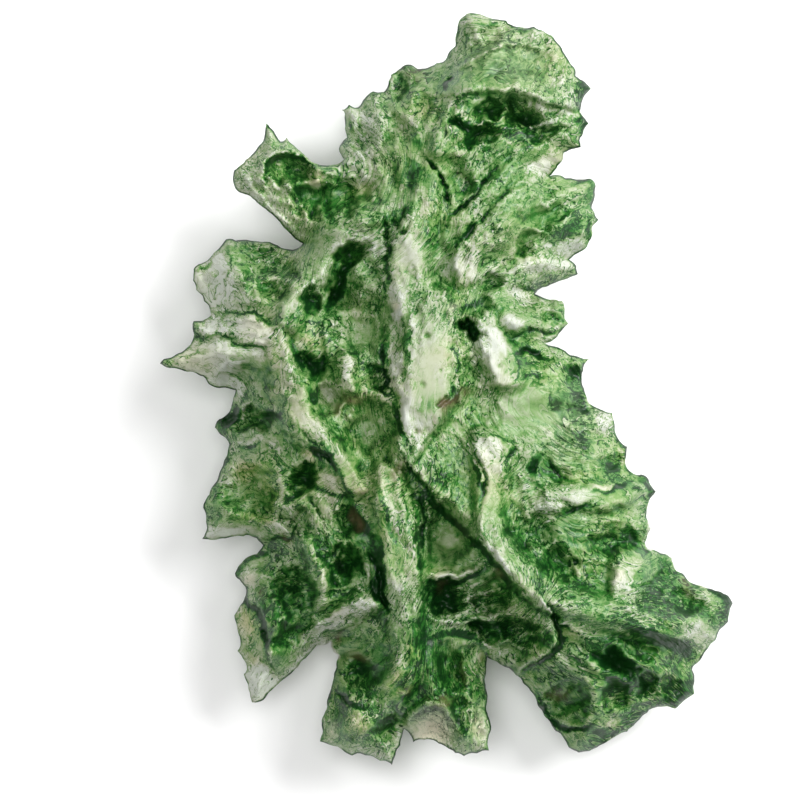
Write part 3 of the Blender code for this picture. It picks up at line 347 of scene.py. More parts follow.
# Hollows in the underside, which is guessed: x, y, the two half widths, the turn, the depth.
UNDER_HOLLOWS = (
    (-7.5, 9.6, 2.0, 1.3, -20, 1.0), (-3.2, 12.6, 1.8, 1.6, 10, 1.0), (2.2, 15.6, 2.0, 1.5, 30, 1.1),
    (4.6, 12.6, 1.6, 1.2, -10, 0.9), (-1.2, 8.6, 1.6, 1.6, 0, 1.5), (4.6, 8.4, 2.0, 1.3, 20, 0.9),
    (-9.6, 5.4, 2.0, 1.4, 10, 0.9), (-5.0, 5.0, 1.9, 1.5, -15, 1.6), (0.6, 4.4, 2.1, 1.7, 0, 1.8),
    (-10.2, 1.6, 1.8, 1.0, 5, 0.7), (-2.6, 0.9, 1.6, 2.0, 10, 1.7), (3.6, 0.3, 1.8, 1.9, 0, 1.6),
    (-9.2, -4.4, 1.8, 1.8, 0, 1.1), (-5.6, -3.0, 1.5, 1.6, 20, 1.6), (0.4, -3.6, 1.9, 1.6, 0, 1.9),
    (7.0, -3.2, 1.9, 1.6, 20, 1.3), (-8.0, -9.6, 1.6, 2.0, 0, 1.0), (-4.2, -8.4, 1.6, 1.7, 0, 1.6),
    (2.6, -8.0, 2.2, 1.6, -30, 1.8), (7.6, -7.8, 1.9, 1.3, 0, 1.2), (-4.2, -14.6, 1.3, 2.0, 0, 1.0),
    (0.2, -14.0, 1.5, 1.9, 0, 1.1), (5.6, -12.6, 1.8, 1.5, -30, 1.3), (10.6, -11.4, 1.9, 1.2, -20, 0.9),
    (8.2, -15.4, 1.9, 1.1, -15, 0.8), (-8.8, -13.4, 1.0, 1.4, 20, 0.6),
)

# Ribs on the underside, also guessed, which run from flat to flat.
UNDER_RIBS = (
    ("long under rib", 0.2, (
        (1.8, 16.0, 0.6, 0.5), (0.9, 11.0, 0.9, 1.0), (-1.4, 6.4, 0.8, 1.0), (-0.8, 1.0, 0.8, 0.9),
        (2.4, -5.9, 0.9, 1.0), (1.2, -11.0, 0.8, 1.0), (0.6, -16.0, 0.6, 0.5),
    )),
    ("left under rib", 0.2, (
        (-11.4, 2.2, 0.5, 0.4), (-6.6, 1.6, 0.9, 1.0), (-3.4, 3.6, 0.8, 1.0), (-1.4, 6.4, 0.7, 1.0),
    )),
    ("lower left under rib", 0.2, (
        (-9.2, -14.2, 0.5, 0.4), (-5.6, -11.2, 0.9, 1.0), (-3.0, -6.0, 0.8, 1.0),
        (-0.8, 1.0, 0.7, 0.9),
    )),
    ("lower right under rib", 0.2, (
        (2.4, -5.9, 0.9, 1.0), (6.0, -8.2, 0.8, 1.0), (9.6, -9.6, 0.9, 1.0), (12.8, -11.2, 0.5, 0.5),
    )),
    ("horn under rib", 0.2, ((-9.2, 11.2, 0.5, 0.4), (-5.0, 9.4, 0.8, 0.9), (-1.4, 6.4, 0.7, 1.0))),
    ("shoulder under rib", 0.2, ((7.8, -1.0, 0.5, 0.4), (3.6, 2.6, 0.8, 0.9), (-0.4, 2.6, 0.7, 0.9))),
)

# Worn flats that touch the ground: x, y, the radius of the flat, the reach of the boss above it.
FLATS = (
    (0.9, 11.0, 1.1, 3.2), (-6.6, 1.6, 1.2, 3.4), (2.4, -5.9, 1.3, 3.4),
    (-5.6, -11.2, 1.0, 3.0), (9.6, -9.6, 1.0, 3.2),
)

# Fine relief that the solid leaves out. A crevice is a V-shaped cut: its half width, its depth and
# its path. A thread is a narrow raised fold with the same three.
CREVICES = (
    ("crown crevice, left", 0.12, 1.0, ((-1.0, 11.4), (-0.5, 11.0), (-0.2, 10.4), (0.0, 9.6), (0.05, 9.3))),
    ("crown crevice, middle", 0.13, 0.9, ((0.2, 8.6), (0.6, 9.0), (1.2, 9.5), (1.8, 10.3), (2.5, 11.0))),
    ("crown slot", 0.22, 1.3, ((0.3, 13.4), (0.7, 13.1), (1.1, 12.8))),
    ("diagonal crevice", 0.12, 0.5, ((0.6, 7.2), (1.4, 8.1), (2.2, 9.0), (3.0, 9.9), (3.9, 10.3))),
    ("upper spine crevice", 0.18, 0.8, ((-3.0, 8.3), (-3.1, 7.4), (-2.9, 6.8), (-3.5, 6.2))),
    ("upper spine slot", 0.22, 0.7, ((-2.7, 8.5), (-2.3, 7.9), (-1.9, 8.2))),
    ("bank crevice", 0.12, 0.8, ((-3.2, 2.3), (-3.2, 1.6), (-3.0, 0.5), (-3.3, 0.0), (-2.8, -0.2))),
    ("bank crevice, foot", 0.12, 0.7, ((-2.3, -0.6), (-2.4, -1.4), (-2.2, -2.2))),
    ("stained crack", 0.12, 0.6, ((0.3, 0.1), (0.1, -0.4), (-0.3, -0.8))),
    ("long thin crack", 0.12, 0.6, ((1.2, -2.6), (1.6, -3.4), (1.9, -4.2), (1.8, -5.2), (1.6, -6.0))),
    ("slope crack", 0.12, 0.5, ((3.1, -2.2), (3.3, -2.9), (3.0, -3.4))),
    ("left bowl line", 0.12, 0.5, ((-7.0, -5.3), (-6.4, -5.9), (-6.0, -6.4))),
    ("spine groove", 0.25, 1.2, ((-3.9, -8.0), (-3.3, -9.0), (-3.2, -10.2), (-2.9, -11.0))),
    ("spine wall", 0.22, 1.0, ((-1.3, -5.2), (-1.2, -7.0), (-1.25, -8.8))),
    ("finger crevice, top", 0.14, 0.6, ((3.4, 2.6), (4.2, 3.0), (5.0, 2.8), (5.6, 2.9))),
    ("finger crevice, foot", 0.18, 0.7, ((3.4, 1.8), (3.9, 1.9), (4.5, 1.7), (5.0, 1.5))),
    ("right bank crevice", 0.12, 0.5, ((7.4, -5.0), (8.2, -4.8), (8.9, -4.7))),
    ("right bank crevice, left", 0.12, 0.5, ((5.4, -6.4), (6.4, -5.9), (7.3, -5.6))),
    ("notch, left arm", 0.18, 0.8, ((4.9, -3.2), (4.5, -3.6), (4.1, -4.1))),
    ("notch, right arm", 0.16, 0.6, ((4.9, -3.2), (5.6, -4.1), (6.2, -4.4))),
    ("crown rim line", 0.14, 0.6, ((-0.1, 14.95), (0.05, 15.3), (0.35, 15.5))),
    ("fold crevice", 0.22, 1.0, ((-6.6, -2.9), (-6.0, -3.4), (-5.5, -4.1))),
    ("fold crevice, small", 0.14, 0.5, ((-7.3, -2.0), (-6.8, -2.4), (-6.4, -2.5))),
    ("long hollow streak", 0.25, 0.8, ((-4.6, 6.3), (-5.2, 5.8), (-5.6, 4.8), (-5.9, 4.1))),
    ("left foot line", 0.14, 0.5, ((-5.5, -15.1), (-5.0, -15.5), (-4.0, -15.8))),
    ("dark hollow rim line", 0.14, 0.6, (
        (4.6, -15.2), (5.2, -16.2), (5.9, -17.0), (6.8, -16.8), (7.3, -16.4),
    )),
)
THREADS = (
    ("crown thread", 0.18, 0.5, ((3.4, 13.3), (4.0, 13.15), (4.8, 13.3), (5.5, 13.7), (5.9, 13.9))),
    ("crown thread, short", 0.15, 0.4, ((4.2, 13.45), (4.6, 13.7), (5.0, 13.85))),
    ("pocket hook", 0.18, 0.5, ((-4.1, -8.4), (-3.8, -9.2), (-3.7, -10.0))),
    ("pocket hook, foot", 0.16, 0.4, ((-4.5, -9.7), (-4.1, -9.9), (-3.9, -10.1))),
    ("cave lip", 0.18, 0.5, ((-9.8, -0.6), (-10.4, -1.0), (-10.6, -1.6), (-11.0, -1.95))),
    ("pool crescent", 0.3, 0.6, ((-1.4, -9.1), (0.0, -9.25), (1.0, -9.1), (1.9, -8.4))),
    ("pool fold, upper", 0.25, 0.45, ((-0.9, -10.3), (0.6, -10.5), (2.0, -10.1), (3.0, -9.8))),
    ("pool fold, lower", 0.25, 0.45, ((-0.8, -11.3), (0.9, -11.5), (2.6, -11.1), (3.8, -10.7))),
    ("fin fold", 0.25, 0.4, ((0.6, -12.6), (2.2, -12.6), (3.8, -12.1), (4.9, -11.6))),
    ("crown edge line", 0.2, 0.4, ((0.3, 15.9), (1.6, 16.6), (3.4, 17.2), (4.8, 16.9))),
    ("horn crest", 0.22, 0.6, ((-10.0, 10.6), (-9.4, 9.6), (-8.2, 8.5), (-7.1, 7.6))),
    ("horn crest, inner", 0.2, 0.5, ((-8.8, 10.6), (-7.6, 9.8), (-7.1, 9.0), (-7.0, 7.9))),
    ("horn crescent", 0.2, 0.4, ((-7.1, 10.3), (-6.5, 10.9), (-5.7, 10.8), (-5.4, 10.2))),
    ("beige facet edge", 0.3, 0.6, (
        (-2.0, -16.9), (-1.8, -16.1), (-1.0, -15.6), (-0.3, -15.6), (0.4, -16.4), (0.9, -17.4),
    )),
)

# The way the glass was fluted by etching: x, y and the direction of the flutes in degrees.
GRAIN = (
    (-1.5, 9.0, 100), (-1.4, 5.0, 92), (-0.8, 1.5, 88), (-1.6, -2.5, 110), (-2.4, -7.0, 92),
    (-2.2, -12.0, 90),
    (-3.5, 14.0, 115), (0.5, 15.0, 70), (4.5, 16.5, 45), (3.5, 13.5, 25), (1.5, 11.5, 55), (3.0, 9.0, 48),
    (6.0, 9.0, 30), (5.0, 6.0, 15), (4.5, 3.5, 10), (2.5, 2.0, 115), (5.5, 0.0, -20), (4.0, -2.0, -35),
    (8.0, -3.5, -25), (8.0, -6.0, 0), (2.2, -5.0, 90), (3.0, -8.0, -60), (7.0, -10.8, -18),
    (12.0, -11.5, -15),
    (9.0, -14.0, -28), (6.0, -15.0, -60), (2.0, -11.0, 15), (0.5, -15.5, 95), (-4.5, -15.5, 82),
    (-5.2, -11.3, 28), (-8.5, -13.0, 55), (-8.0, -9.8, 35), (-5.0, -7.5, 110), (-9.5, -5.0, 12),
    (-9.5, -1.4, -15), (-6.8, -1.5, 125), (-12.0, 1.5, -3), (-10.5, 3.0, 2), (-7.8, 4.0, 60),
    (-10.0, 6.0, -12), (-4.5, 4.0, 100), (-5.5, 8.2, 28), (-7.8, 10.4, -38), (-5.0, 10.0, -10),
    (-4.0, 12.5, 120),
)

# Places that the etching left smooth: x, y, the two half widths, how much of the fluting stays.
SMOOTH = (
    ("right slope", 4.6, -0.8, 3.2, 2.6, 0.2), ("centre pool", 0.1, -7.3, 1.6, 2.2, 0.15),
    ("central bank", -0.8, 1.2, 1.8, 4.4, 0.15), ("left bowl", -9.9, -5.2, 1.5, 1.3, 0.45),
    ("long hollow", -4.3, 3.2, 1.4, 1.6, 0.5), ("long hollow pool", -3.9, -1.8, 1.4, 1.4, 0.4),
    ("crown basin", 4.3, 16.3, 1.7, 1.1, 0.4), ("horn hollow", -6.2, 9.7, 2.0, 1.2, 0.4),
    ("lower right dark hollow", 6.0, -15.4, 1.2, 1.3, 0.5), ("upper right dish", 5.0, 8.6, 1.5, 0.9, 0.5),
    ("left foot hollow", -4.2, -14.0, 1.0, 1.2, 0.5), ("left rib", -7.2, -1.2, 1.1, 3.4, 0.4),
    ("right spine", 2.2, -5.0, 1.0, 3.2, 0.35), ("long finger", 2.5, 1.8, 1.0, 2.2, 0.2),
    ("upper spine", -1.8, 6.4, 1.1, 2.8, 0.5), ("right bank", 7.2, -5.2, 2.4, 0.9, 0.4),
)

# Etch scoops of one size: how many to a square millimetre, the shortest and longest, the width
# and the depth as shares of the length, the spread about the grain in degrees.
SCOOP_SIZES = (
    (1.3, 1.2, 2.8, 0.32, 0.34, 16), (4.0, 0.6, 1.2, 0.42, 0.28, 26), (10.0, 0.35, 0.6, 0.5, 0.26, 45),
)

# Small round pits where gas bubbles were cut open: x, y, radius and depth.
OPEN_BUBBLES = (
    (-1.0, 2.7, 0.2, 0.25), (-1.5, -2.0, 0.18, 0.2), (0.45, 3.2, 0.22, 0.3), (-0.3, 1.0, 0.12, 0.15),
    (-1.2, 0.3, 0.14, 0.15), (4.2, 0.3, 0.12, 0.12), (6.1, -1.5, 0.12, 0.12), (2.6, 1.2, 0.13, 0.15),
    (-10.4, -5.6, 0.14, 0.15), (-9.1, -4.6, 0.12, 0.12), (0.5, -7.2, 0.16, 0.15), (5.1, 16.4, 0.15, 0.15),
)

# Patches of the skin: pale ones of painted sheen and painted light through thin glass, real brown
# stains, real beige skin, and dark ones of painted shade: x, y, the two half widths, the turn,
# how strong. Where two overlap, the stronger one counts.
LIT_PATCHES = (
    (-0.7, 2.4, 1.5, 3.4, 0, 0.45), (-1.2, -1.0, 1.1, 2.2, 15, 0.7), (-1.5, -2.3, 0.6, 1.2, 10, 0.9),
    (0.9, 6.2, 0.9, 1.2, 0, 0.9), (1.4, 7.2, 0.6, 0.6, 0, 0.9), (2.5, 2.0, 1.0, 2.2, 20, 1.1),
    (3.0, 0.9, 0.7, 0.8, 0, 0.7), (3.7, 4.6, 0.8, 0.5, 0, 1.1), (3.3, 3.4, 0.9, 0.7, 0, 1.0),
    (6.5, -5.4, 1.2, 0.5, 5, 0.3), (7.8, -4.8, 0.7, 0.35, 15, 0.8),
    (4.6, -1.4, 3.6, 2.4, -15, 0.25), (7.8, -1.7, 0.9, 1.0, 0, 1.0), (2.0, -3.0, 1.0, 1.3, 0, 1.1),
    (2.2, -5.0, 0.9, 1.8, 5, 0.5), (9.0, -8.6, 0.9, 1.1, 5, 1.0), (8.7, -9.8, 0.7, 0.9, 15, 1.0),
    (12.5, -12.0, 1.6, 1.0, -20, 1.0), (13.3, -10.6, 0.8, 0.9, -30, 0.5), (12.4, -13.2, 0.5, 0.6, 0, 0.8),
    (4.8, 6.2, 2.0, 0.6, 5, 1.2), (5.8, 7.2, 1.4, 0.5, 0, 1.0), (4.7, 11.2, 1.3, 0.9, 30, 1.1),
    (5.3, 15.4, 1.3, 0.6, 0, 0.6), (5.5, 16.8, 0.9, 1.0, -40, 0.3), (4.6, 17.8, 0.9, 0.4, -20, 0.4),
    (-11.8, 5.6, 1.5, 2.2, 15, 2.1), (-10.4, 3.0, 2.4, 0.6, 3, 1.0), (-12.2, 1.6, 2.4, 1.3, 5, 2.1),
    (-10.0, 4.7, 1.0, 0.6, 0, 0.6), (-9.3, -14.7, 1.1, 1.2, -20, 1.3), (-9.9, -9.1, 0.9, 0.8, 0, 1.4),
    (-11.3, -7.1, 1.3, 0.6, 10, 1.1), (-8.7, -6.8, 1.0, 0.6, -30, 0.8), (-10.5, -10.8, 0.6, 0.7, 0, 0.8),
    (-2.5, -6.5, 0.9, 3.4, -4, 0.3), (-6.9, -1.6, 0.9, 3.6, 32, 0.4), (-5.8, -4.6, 0.9, 0.6, 0, 0.9),
    (-6.1, -5.8, 0.7, 0.5, 0, 0.8), (-4.1, -5.8, 0.5, 0.9, 10, 0.8), (-5.0, -3.2, 0.8, 1.0, 0, 0.5),
    (-1.8, 6.6, 1.0, 2.4, 8, 0.6), (-1.7, 7.4, 0.8, 1.1, 0, 0.3), (-2.4, 4.2, 0.7, 0.8, 0, 0.9),
    (-2.5, 1.2, 0.6, 1.2, 0, 0.5), (-4.9, 0.9, 0.5, 1.1, 0, 1.2), (-4.8, 13.6, 0.8, 1.2, 20, 0.7),
    (-4.2, 11.7, 0.6, 0.5, 0, 1.0), (-9.7, 11.4, 1.0, 1.4, 10, 0.6), (-10.1, 10.1, 0.8, 0.5, 40, 0.9),
    (4.8, -10.0, 2.4, 0.8, -30, 0.5), (-5.8, 7.2, 1.6, 0.6, 30, 0.5), (1.5, 8.9, 1.0, 0.7, 45, 0.5),
    (-4.4, 2.8, 2.0, 2.6, 0, 0.5), (-3.7, 7.2, 0.9, 0.9, 0, 0.7),
    (-3.8, -1.8, 1.6, 1.6, 0, 0.5), (0.1, -7.3, 1.6, 2.0, 10, 0.5), (-10.0, -4.4, 2.0, 1.6, 0, 0.4),
    (-9.6, -3.8, 1.4, 0.6, 0, 0.6), (-7.0, -3.2, 0.5, 0.7, 0, 1.2), (-7.9, -9.6, 1.1, 0.6, 0, 0.7),
    (-7.6, -10.2, 1.6, 1.8, 0, 0.3), (-9.8, -11.9, 0.7, 1.2, 0, 0.6), (-4.3, -16.5, 1.3, 1.2, 0, 0.8),
    (-1.7, -13.2, 0.4, 1.2, 0, 0.7), (1.65, -16.6, 0.5, 1.2, 0, 0.7), (-0.7, -16.8, 1.5, 1.4, 0, 0.9),
    (5.5, -13.2, 0.5, 0.6, 0, 1.1), (8.5, -15.4, 0.9, 0.8, 0, 0.7), (8.2, -16.6, 1.5, 0.5, 10, 0.9),
    (7.0, -17.4, 1.4, 0.7, 0, 0.6), (2.9, -13.1, 0.7, 0.4, 0, 0.8), (6.2, -12.0, 0.8, 0.5, 0, 0.6),
    (7.0, -14.0, 1.0, 0.9, 0, 0.5), (-2.8, -9.5, 0.4, 0.5, 0, 0.8), (-5.5, -7.4, 0.5, 0.8, 0, 0.5),
    (3.0, -1.8, 1.4, 1.0, 0, 0.3), (-6.4, 10.6, 0.9, 0.5, 0, 0.8),
)
STAINS = (
    (-4.7, -0.4, 1.0, 0.5, 10, 1.2), (-5.4, -1.0, 0.6, 0.5, 0, 1.1), (-2.4, -3.8, 0.5, 0.6, 0, 0.9),
    (-4.6, -6.4, 0.4, 1.1, 10, 1.4), (0.3, -0.6, 0.4, 1.0, -35, 1.4), (-0.6, -1.3, 0.3, 0.4, 0, 1.1),
    (0.9, -0.1, 0.5, 0.4, 0, 0.9), (-1.4, -1.8, 0.4, 0.3, 0, 0.7), (-1.6, 15.7, 0.9, 0.7, 0, 0.6),
    (-5.3, -12.2, 0.7, 0.3, 30, 1.1), (-4.5, -13.2, 1.0, 0.5, 0, 1.1), (1.75, -13.3, 0.3, 0.5, 0, 0.9),
    (-0.3, -15.5, 1.0, 0.3, 0, 1.0), (-1.6, -9.4, 0.5, 0.6, 0, 0.3), (0.8, 10.6, 0.6, 0.4, 0, 0.3),
    (-4.3, -4.8, 0.4, 0.5, 0, 1.1), (2.2, -9.4, 0.7, 0.4, -40, 0.9), (-0.2, -9.8, 0.5, 0.3, 0, 0.9),
    (-2.0, -14.9, 0.4, 0.5, 0, 0.8), (1.0, -14.0, 0.3, 0.9, 0, 0.6), (5.6, -15.2, 0.7, 0.6, 0, 0.8),
    (12.1, -9.9, 0.7, 0.4, -20, 0.7), (-8.0, -7.5, 0.6, 0.2, 0, 0.7), (-9.2, -9.9, 0.3, 0.5, 0, 0.8),
)
BEIGE = (
    (3.3, 16.2, 3.6, 2.4, -20, 0.22), (6.0, -1.5, 2.6, 3.0, 0, 0.15),
    (-0.7, -16.9, 1.6, 1.5, 0, 1.3), (1.7, -16.8, 0.6, 1.6, 0, 0.6), (-5.8, -17.0, 0.4, 1.0, 0, 0.5),
    (-2.7, 0.45, 0.3, 0.35, 0, 0.9), (-9.8, -9.3, 0.5, 0.5, 0, 0.6), (-2.6, 4.2, 0.4, 0.5, 30, 0.8),
    (0.3, 4.1, 0.5, 0.3, 20, 0.7), (8.5, -9.2, 0.5, 0.8, 0, 0.4),
)
# The dark patches: painted shade.
SHADED_PATCHES = (
    (3.2, 13.9, 1.9, 1.0, -12, 0.7), (1.9, 13.4, 1.4, 1.0, 0, 0.42), (-7.6, 11.1, 1.2, 0.6, -15, 0.63),
    (-5.4, 6.0, 0.7, 1.5, 20, 0.63), (-6.5, 1.3, 0.8, 1.3, 10, 0.56), (-3.2, 1.6, 0.5, 1.8, 0, 0.28),
    (-7.2, -4.5, 1.0, 0.9, 0, 1.2), (-5.0, -8.8, 1.2, 0.9, 0, 1.1), (-4.2, -7.9, 0.7, 0.6, 0, 0.7),
    (-7.9, -10.6, 1.5, 1.8, 0, 0.49), (-8.6, -12.1, 0.5, 0.6, 0, 0.84), (2.2, -11.6, 3.2, 1.3, -20, 0.56),
    (0.2, -10.0, 1.8, 0.8, 0, 0.56), (-0.3, -12.6, 1.2, 0.6, 0, 0.56), (-4.6, -13.8, 1.2, 1.3, 0, 0.84),
    (-2.9, -16.6, 0.9, 0.8, 0, 0.63), (0.4, -13.8, 1.3, 1.5, 0, 0.49), (0.9, -16.3, 0.4, 1.2, 10, 0.7),
    (6.0, -15.6, 1.5, 1.3, -30, 0.84), (8.5, -13.5, 1.7, 0.7, -20, 0.91), (9.7, -14.8, 0.7, 0.5, 0, 0.7),
    (10.4, -13.9, 1.0, 0.5, 0, 0.49), (1.0, 10.6, 0.8, 1.0, 0, 0.35), (-10.9, -1.2, 0.9, 0.8, 0, 1.0),
    (-8.9, -1.2, 1.1, 0.6, -20, 0.42), (4.4, -6.9, 1.4, 1.0, -20, 0.42), (5.8, -8.3, 1.2, 0.6, -25, 0.35),
    (0.9, -5.4, 0.6, 1.4, 35, 0.28), (-1.2, 7.9, 0.5, 1.4, 0, 0.21), (11.2, -14.9, 1.0, 0.9, 0, 0.35),
    (6.4, 0.9, 0.6, 1.0, 0, 0.7), (8.3, -3.3, 0.7, 0.7, 0, 0.91), (12.2, -9.9, 1.1, 0.6, -20, 0.84),
    (5.4, 8.8, 1.8, 1.2, 20, 0.35), (-6.6, 9.6, 1.6, 1.0, 0, 0.42), (-9.8, -4.9, 0.7, 0.5, 0, 0.7),
    (-8.8, 6.3, 1.7, 1.0, 0, 0.42), (-9.0, 5.0, 1.2, 0.7, -30, 0.42), (-2.9, 15.3, 0.7, 0.8, 0, 0.35),
    (1.7, 0.2, 0.7, 1.4, 10, 0.14), (9.2, -7.3, 1.0, 0.5, 0, 0.56), (7.5, -7.1, 1.0, 0.4, 0, 0.35),
    (-7.5, -12.3, 1.6, 0.5, 20, 0.49), (-7.8, -8.1, 1.2, 0.4, 20, 0.49), (-3.4, 5.6, 0.6, 1.2, 0, 0.28),
    (-1.6, -4.4, 0.5, 0.8, 0, 0.63), (3.4, 10.6, 0.5, 0.6, 0, 0.35), (5.2, 3.7, 0.5, 0.6, 0, 0.42),
    (6.7, 11.9, 0.5, 0.5, 0, 0.28), (-6.9, 4.5, 0.5, 0.5, 0, 0.7), (-10.6, -5.6, 1.2, 0.8, 0, 0.28),
    (9.6, -14.4, 4.6, 2.2, -20, 0.9), (0.6, -14.4, 1.8, 2.4, 0, 0.5), (-4.4, -14.4, 1.6, 2.2, 0, 0.5),
    (-8.0, -10.6, 2.0, 2.4, 0, 0.55), (-5.2, -7.6, 1.4, 1.6, 0, 0.4), (3.0, -11.4, 3.4, 1.6, -20, 0.5),
    (-5.6, 9.9, 2.6, 1.3, 0, 0.5), (6.0, 8.4, 1.8, 1.6, 0, 0.45), (4.8, 16.2, 2.2, 1.8, 0, 0.35),
    (5.2, -1.4, 3.4, 2.4, 0, 0.3), (-2.2, -7.4, 0.8, 3.0, 0, 0.8), (9.7, -11.7, 3.0, 0.9, -15, 0.9),
    (11.8, -10.6, 2.2, 1.0, -20, 1.0), (8.6, -4.9, 1.6, 1.1, 0, 0.35),
)

# Smaller touches of painted light and then painted shade, whose strength is added to the patches
# above. A few wide ones make the left side lighter and the lower part darker, as painted light and shade.
LIT_TOUCHES = (
    (-11.8, 4.9, 1.0, 1.1, 0, 0.6), (-11.1, 0.4, 1.3, 0.7, 0, 0.5), (-2.0, 3.0, 0.9, 0.9, 0, 0.4),
    (-2.5, -0.8, 0.5, 1.6, 0, 0.4), (0.7, 3.6, 0.9, 0.6, 0, 0.5), (-6.0, -12.2, 1.3, 0.6, 20, 0.5),
    (-9.5, -13.2, 1.0, 1.8, 0, 0.35), (-2.2, 12.8, 0.8, 0.9, 0, 0.5), (-0.4, 14.3, 0.5, 0.8, 0, 0.4),
    (3.5, 14.2, 1.4, 0.5, -10, 0.4), (-9.0, 9.4, 1.3, 0.5, -40, 0.4), (-8.0, -6.6, 1.4, 0.4, 10, 0.4),
    (-8.5, 3.5, 6.5, 8.0, 0, 0.35), (-3.6, 0.8, 1.6, 2.0, 0, 0.4), (-12.0, 4.8, 1.2, 2.0, 0, 0.6),
    (-11.6, 0.6, 1.6, 0.9, 0, 0.6), (9.2, -11.8, 1.5, 0.9, 0, 0.6), (5.6, -5.4, 1.6, 1.3, 0, 0.4),
    (2.0, 5.6, 1.4, 0.9, 0, 0.6), (2.1, 0.6, 1.1, 1.0, 0, 0.5), (-2.9, 4.8, 1.0, 2.2, 10, 0.5),
    (-4.0, 11.5, 1.6, 2.4, 0, 0.35), (4.9, 13.6, 1.2, 0.9, -30, 0.5), (-1.5, -7.8, 0.5, 1.2, 0, 0.4),
    (-2.4, 0.8, 1.1, 2.8, 0, 1.5), (-5.9, -0.1, 1.1, 1.1, 0, 1.7), (-11.2, 0.4, 2.0, 0.9, -12, 1.8),
    (-2.2, 3.4, 0.9, 1.5, 0, 1.1), (-2.2, -0.8, 0.8, 1.3, 0, 0.9), (-11.0, -7.2, 1.6, 0.6, 0, 0.7),
    (-11.6, 4.8, 1.5, 2.2, 0, 1.2), (-9.4, 2.0, 1.3, 0.9, 0, 0.9), (-10.2, 3.4, 1.6, 1.0, 0, 1.0),
    (-9.0, 8.9, 2.6, 0.7, -40, 1.2), (-3.9, 13.2, 1.3, 1.2, 0, 1.1), (-1.6, 13.4, 1.8, 1.1, 20, 1.0),
    (-4.0, 10.2, 0.9, 0.8, 0, 1.0), (2.2, 17.6, 1.5, 0.9, 0, 0.7), (4.0, 14.2, 1.8, 0.7, 0, 0.6),
    (0.5, 11.0, 0.8, 1.1, 0, 0.5), (-0.1, 6.1, 1.2, 1.2, 0, 1.1), (-4.3, 8.0, 0.9, 1.3, 0, 0.4),
    (3.4, 7.4, 3.0, 1.5, 0, 0.4), (6.0, 6.8, 1.8, 1.6, 0, 0.7), (4.0, 4.4, 2.2, 0.9, 0, 0.5),
    (-4.7, 4.7, 1.4, 0.9, 0, 0.5), (-2.5, 4.4, 0.9, 2.2, 12, 0.8), (1.8, 2.2, 1.1, 2.4, 0, 1.2),
    (3.5, -0.2, 3.4, 2.0, 0, 0.4), (5.6, -1.7, 1.4, 1.4, 0, 0.4), (1.7, -2.2, 0.8, 1.0, 0, 0.6),
    (3.7, -3.2, 1.2, 2.0, 0, 0.4), (4.9, -6.0, 1.1, 0.8, 0, 0.8), (-0.6, -2.4, 0.7, 0.8, 0, 0.5),
    (-3.9, -4.6, 0.9, 1.2, 0, 0.7), (-5.4, -4.8, 1.2, 0.7, 0, 0.5), (-7.8, -6.8, 1.5, 0.7, 20, 0.6),
    (-3.4, -7.8, 0.6, 0.9, 0, 0.6), (-6.6, -12.4, 2.2, 0.8, 28, 0.9), (-4.0, -10.9, 1.8, 0.8, 25, 0.7),
    (-9.6, -14.5, 1.3, 1.5, 0, 1.2), (-10.2, -12.0, 0.7, 1.2, 0, 0.9), (0.8, -9.9, 1.3, 0.7, 0, 0.8),
    (2.4, -10.9, 2.0, 0.9, -20, 0.8), (3.8, -12.0, 1.1, 0.8, 0, 0.8), (7.2, -11.8, 3.0, 0.7, -3, 0.8),
    (-0.3, -16.4, 1.7, 0.8, 0, 0.5), (6.5, -15.2, 0.7, 0.9, 0, 0.5), (9.2, -10.6, 1.0, 1.4, 0, 0.5),
    (11.9, -10.4, 1.0, 0.7, 0, 0.7), (0.1, -7.5, 2.0, 1.2, 0, 0.5), (-8.6, -9.7, 1.0, 0.7, 0, 0.4),
    (9.0, -5.2, 0.8, 0.8, 0, 0.3), (-9.3, 11.8, 1.0, 0.8, 0, 0.4), (-9.4, -1.9, 0.8, 0.8, 0, 0.4),
)
